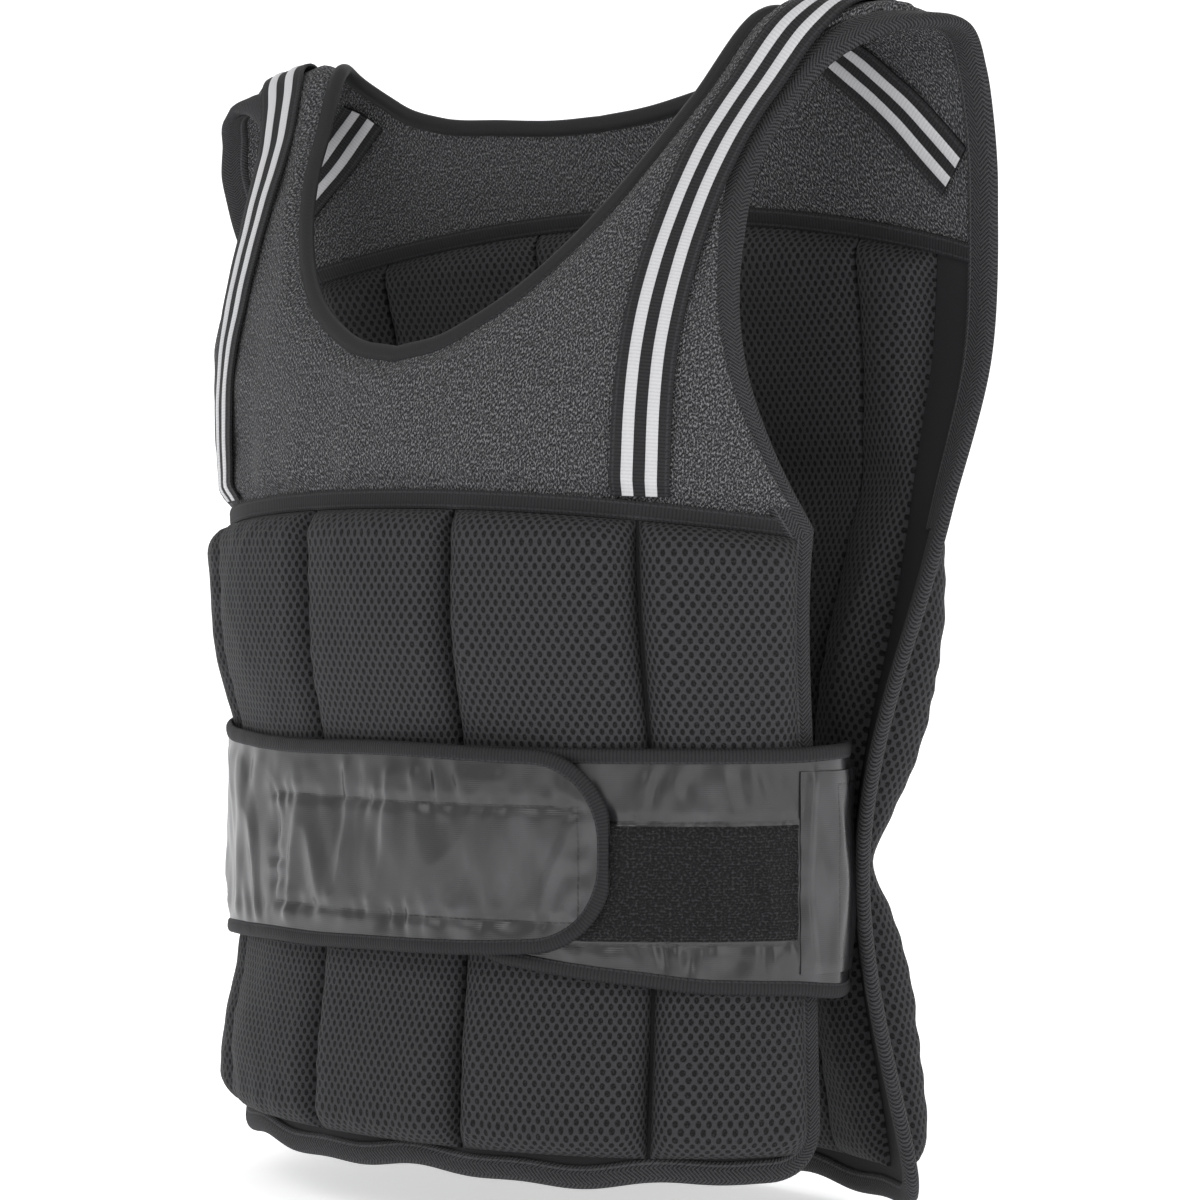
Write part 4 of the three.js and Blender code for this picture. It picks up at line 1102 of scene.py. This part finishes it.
# A patch's low edge is given in the form's own heights; the shoulders are the zero here
loopBox = (leftBelt.stations[4], leftBelt.total - 36, belt["patchLow"] - shoulderLevel)
hookBox = (rightBelt.stations[9], rightBelt.total - 14, belt["hookLow"] - shoulderLevel)
leftBelt.box = (loopBox[0] + 2, loopBox[1] - 2, loopBox[2] - 1.5, loopBox[2] + belt["patchHeight"] + 1.5)
rightBelt.box = (hookBox[0], hookBox[1], hookBox[2], hookBox[2] + belt["patchHeight"])
satinLeft = clothMaterial("satinLeft", looks["satin"], [boxStitch(*leftBelt.box)])
satinRight = clothMaterial("satinRight", looks["satin"], [boxStitch(*rightBelt.box)])
addBelt("beltLeft", leftBelt, satinLeft, ["belt_left", "belt_left_binding"], 21)
addBelt("beltRight", rightBelt, satinRight, ["belt_right", "belt_right_binding"], 23)
addPatch("loopPatch", leftBelt, loopBox[0], loopBox[1], loopBox[2], belt["patchHeight"], 1, 1.0,
         loopCloth, "loop_patch", 21, 0.5)
addPatch("hookPatch", rightBelt, hookBox[0], hookBox[1], hookBox[2], belt["patchHeight"], -1, 1.0,
         loopCloth, "hook_patch", 23)
for form, side, lowEdge, height, seed in (
    (leftBelt, "Left", -166, 88, 21),
    (rightBelt, "Right", -154, 79, 23),
):
    lowEdge -= shoulderLevel
    end = form.stations[4] - 1
    seam = boxStitch(4, end * 0.66, lowEdge + 6, lowEdge + height - 6)
    anchorCloth = clothMaterial(f"satinAnchor{side}", looks["satin"], [seam])
    addPatch(f"beltAnchor{side}", form, 0, end, lowEdge, height, 1, 0.9, anchorCloth,
             f"belt_anchor_{side.lower()}", seed, 0.3)
print("belt made")


# Studio: pale floor that curves up behind, a large key light, fill and rim lights
studio = {
    "floorHeight": -0.545,
    "floorGrey": 250,
    "floorGlow": 0.55,
    "world": 0.6,
    "key": 9.5,
    "fill": 9,
    "rim": 6,
}


def addStudio():
    mesh = bmesh.new()
    bmesh.ops.create_grid(mesh, x_segments=2, y_segments=60, size=6)
    for vert in mesh.verts:
        behind = max(0, vert.co.y - 3.4)
        vert.co.z = 0.9 * behind**2
    data = bpy.data.meshes.new("studioFloor")
    mesh.to_mesh(data)
    mesh.free()
    for face in data.polygons:
        face.use_smooth = True
    floor = bpy.data.objects.new("studioFloor", data)
    floor.location.z = studio["floorHeight"]
    floor.rotation_euler.z = math.radians(view["azimuth"])
    bpy.context.scene.collection.objects.link(floor)
    material = bpy.data.materials.new("studioPaper")
    material.use_nodes = True
    shader = material.node_tree.nodes["Principled BSDF"]
    shader.inputs["Base Color"].default_value = tint(studio["floorGrey"])
    shader.inputs["Roughness"].default_value = 0.9
    shader.inputs["Emission Color"].default_value = (1, 1, 1, 1)
    shader.inputs["Emission Strength"].default_value = studio["floorGlow"]
    data.materials.append(material)
    world = bpy.data.worlds.new("studioWorld")
    bpy.context.scene.world = world
    world.use_nodes = True
    background = world.node_tree.nodes["Background"]
    background.inputs["Color"].default_value = (1, 1, 1, 1)
    background.inputs["Strength"].default_value = studio["world"]


def addLight(name, azimuth, elevation, distance, size, power):
    data = bpy.data.lights.new(name, "AREA")
    data.size = size
    data.energy = power
    light = bpy.data.objects.new(name, data)
    direction = viewDirection(azimuth, elevation)
    centre = Vector((0, 0, view["targetHeight"]))
    light.location = centre + direction * distance
    light.rotation_euler = direction.to_track_quat("Z", "Y").to_euler()
    bpy.context.scene.collection.objects.link(light)


def viewDirection(azimuth, elevation):
    turn = math.radians(azimuth)
    rise = math.radians(elevation)
    return Vector((math.sin(turn) * math.cos(rise), -math.cos(turn) * math.cos(rise), math.sin(rise)))


def addCamera():
    data = bpy.data.cameras.new("camera")
    data.lens = view["lens"]
    data.sensor_width = 36
    camera = bpy.data.objects.new("camera", data)
    turn = math.radians(view["azimuth"])
    right = Vector((math.cos(turn), math.sin(turn), 0))
    target = right * view["targetRight"] + Vector((0, 0, view["targetHeight"]))
    direction = viewDirection(view["azimuth"], view["elevation"])
    camera.location = target + direction * view["distance"]
    camera.rotation_euler = direction.to_track_quat("Z", "Y").to_euler()
    bpy.context.scene.collection.objects.link(camera)
    bpy.context.scene.camera = camera


addStudio()
addLight("keyLight", 10, 40, 2.2, 1.4, studio["key"])
addLight("fillLight", 85, 20, 2.4, 1.6, studio["fill"])
addLight("rimLight", 200, 50, 2.2, 1.2, studio["rim"])
addCamera()
bpy.context.scene.view_settings.view_transform = "Standard"

print("scene made")
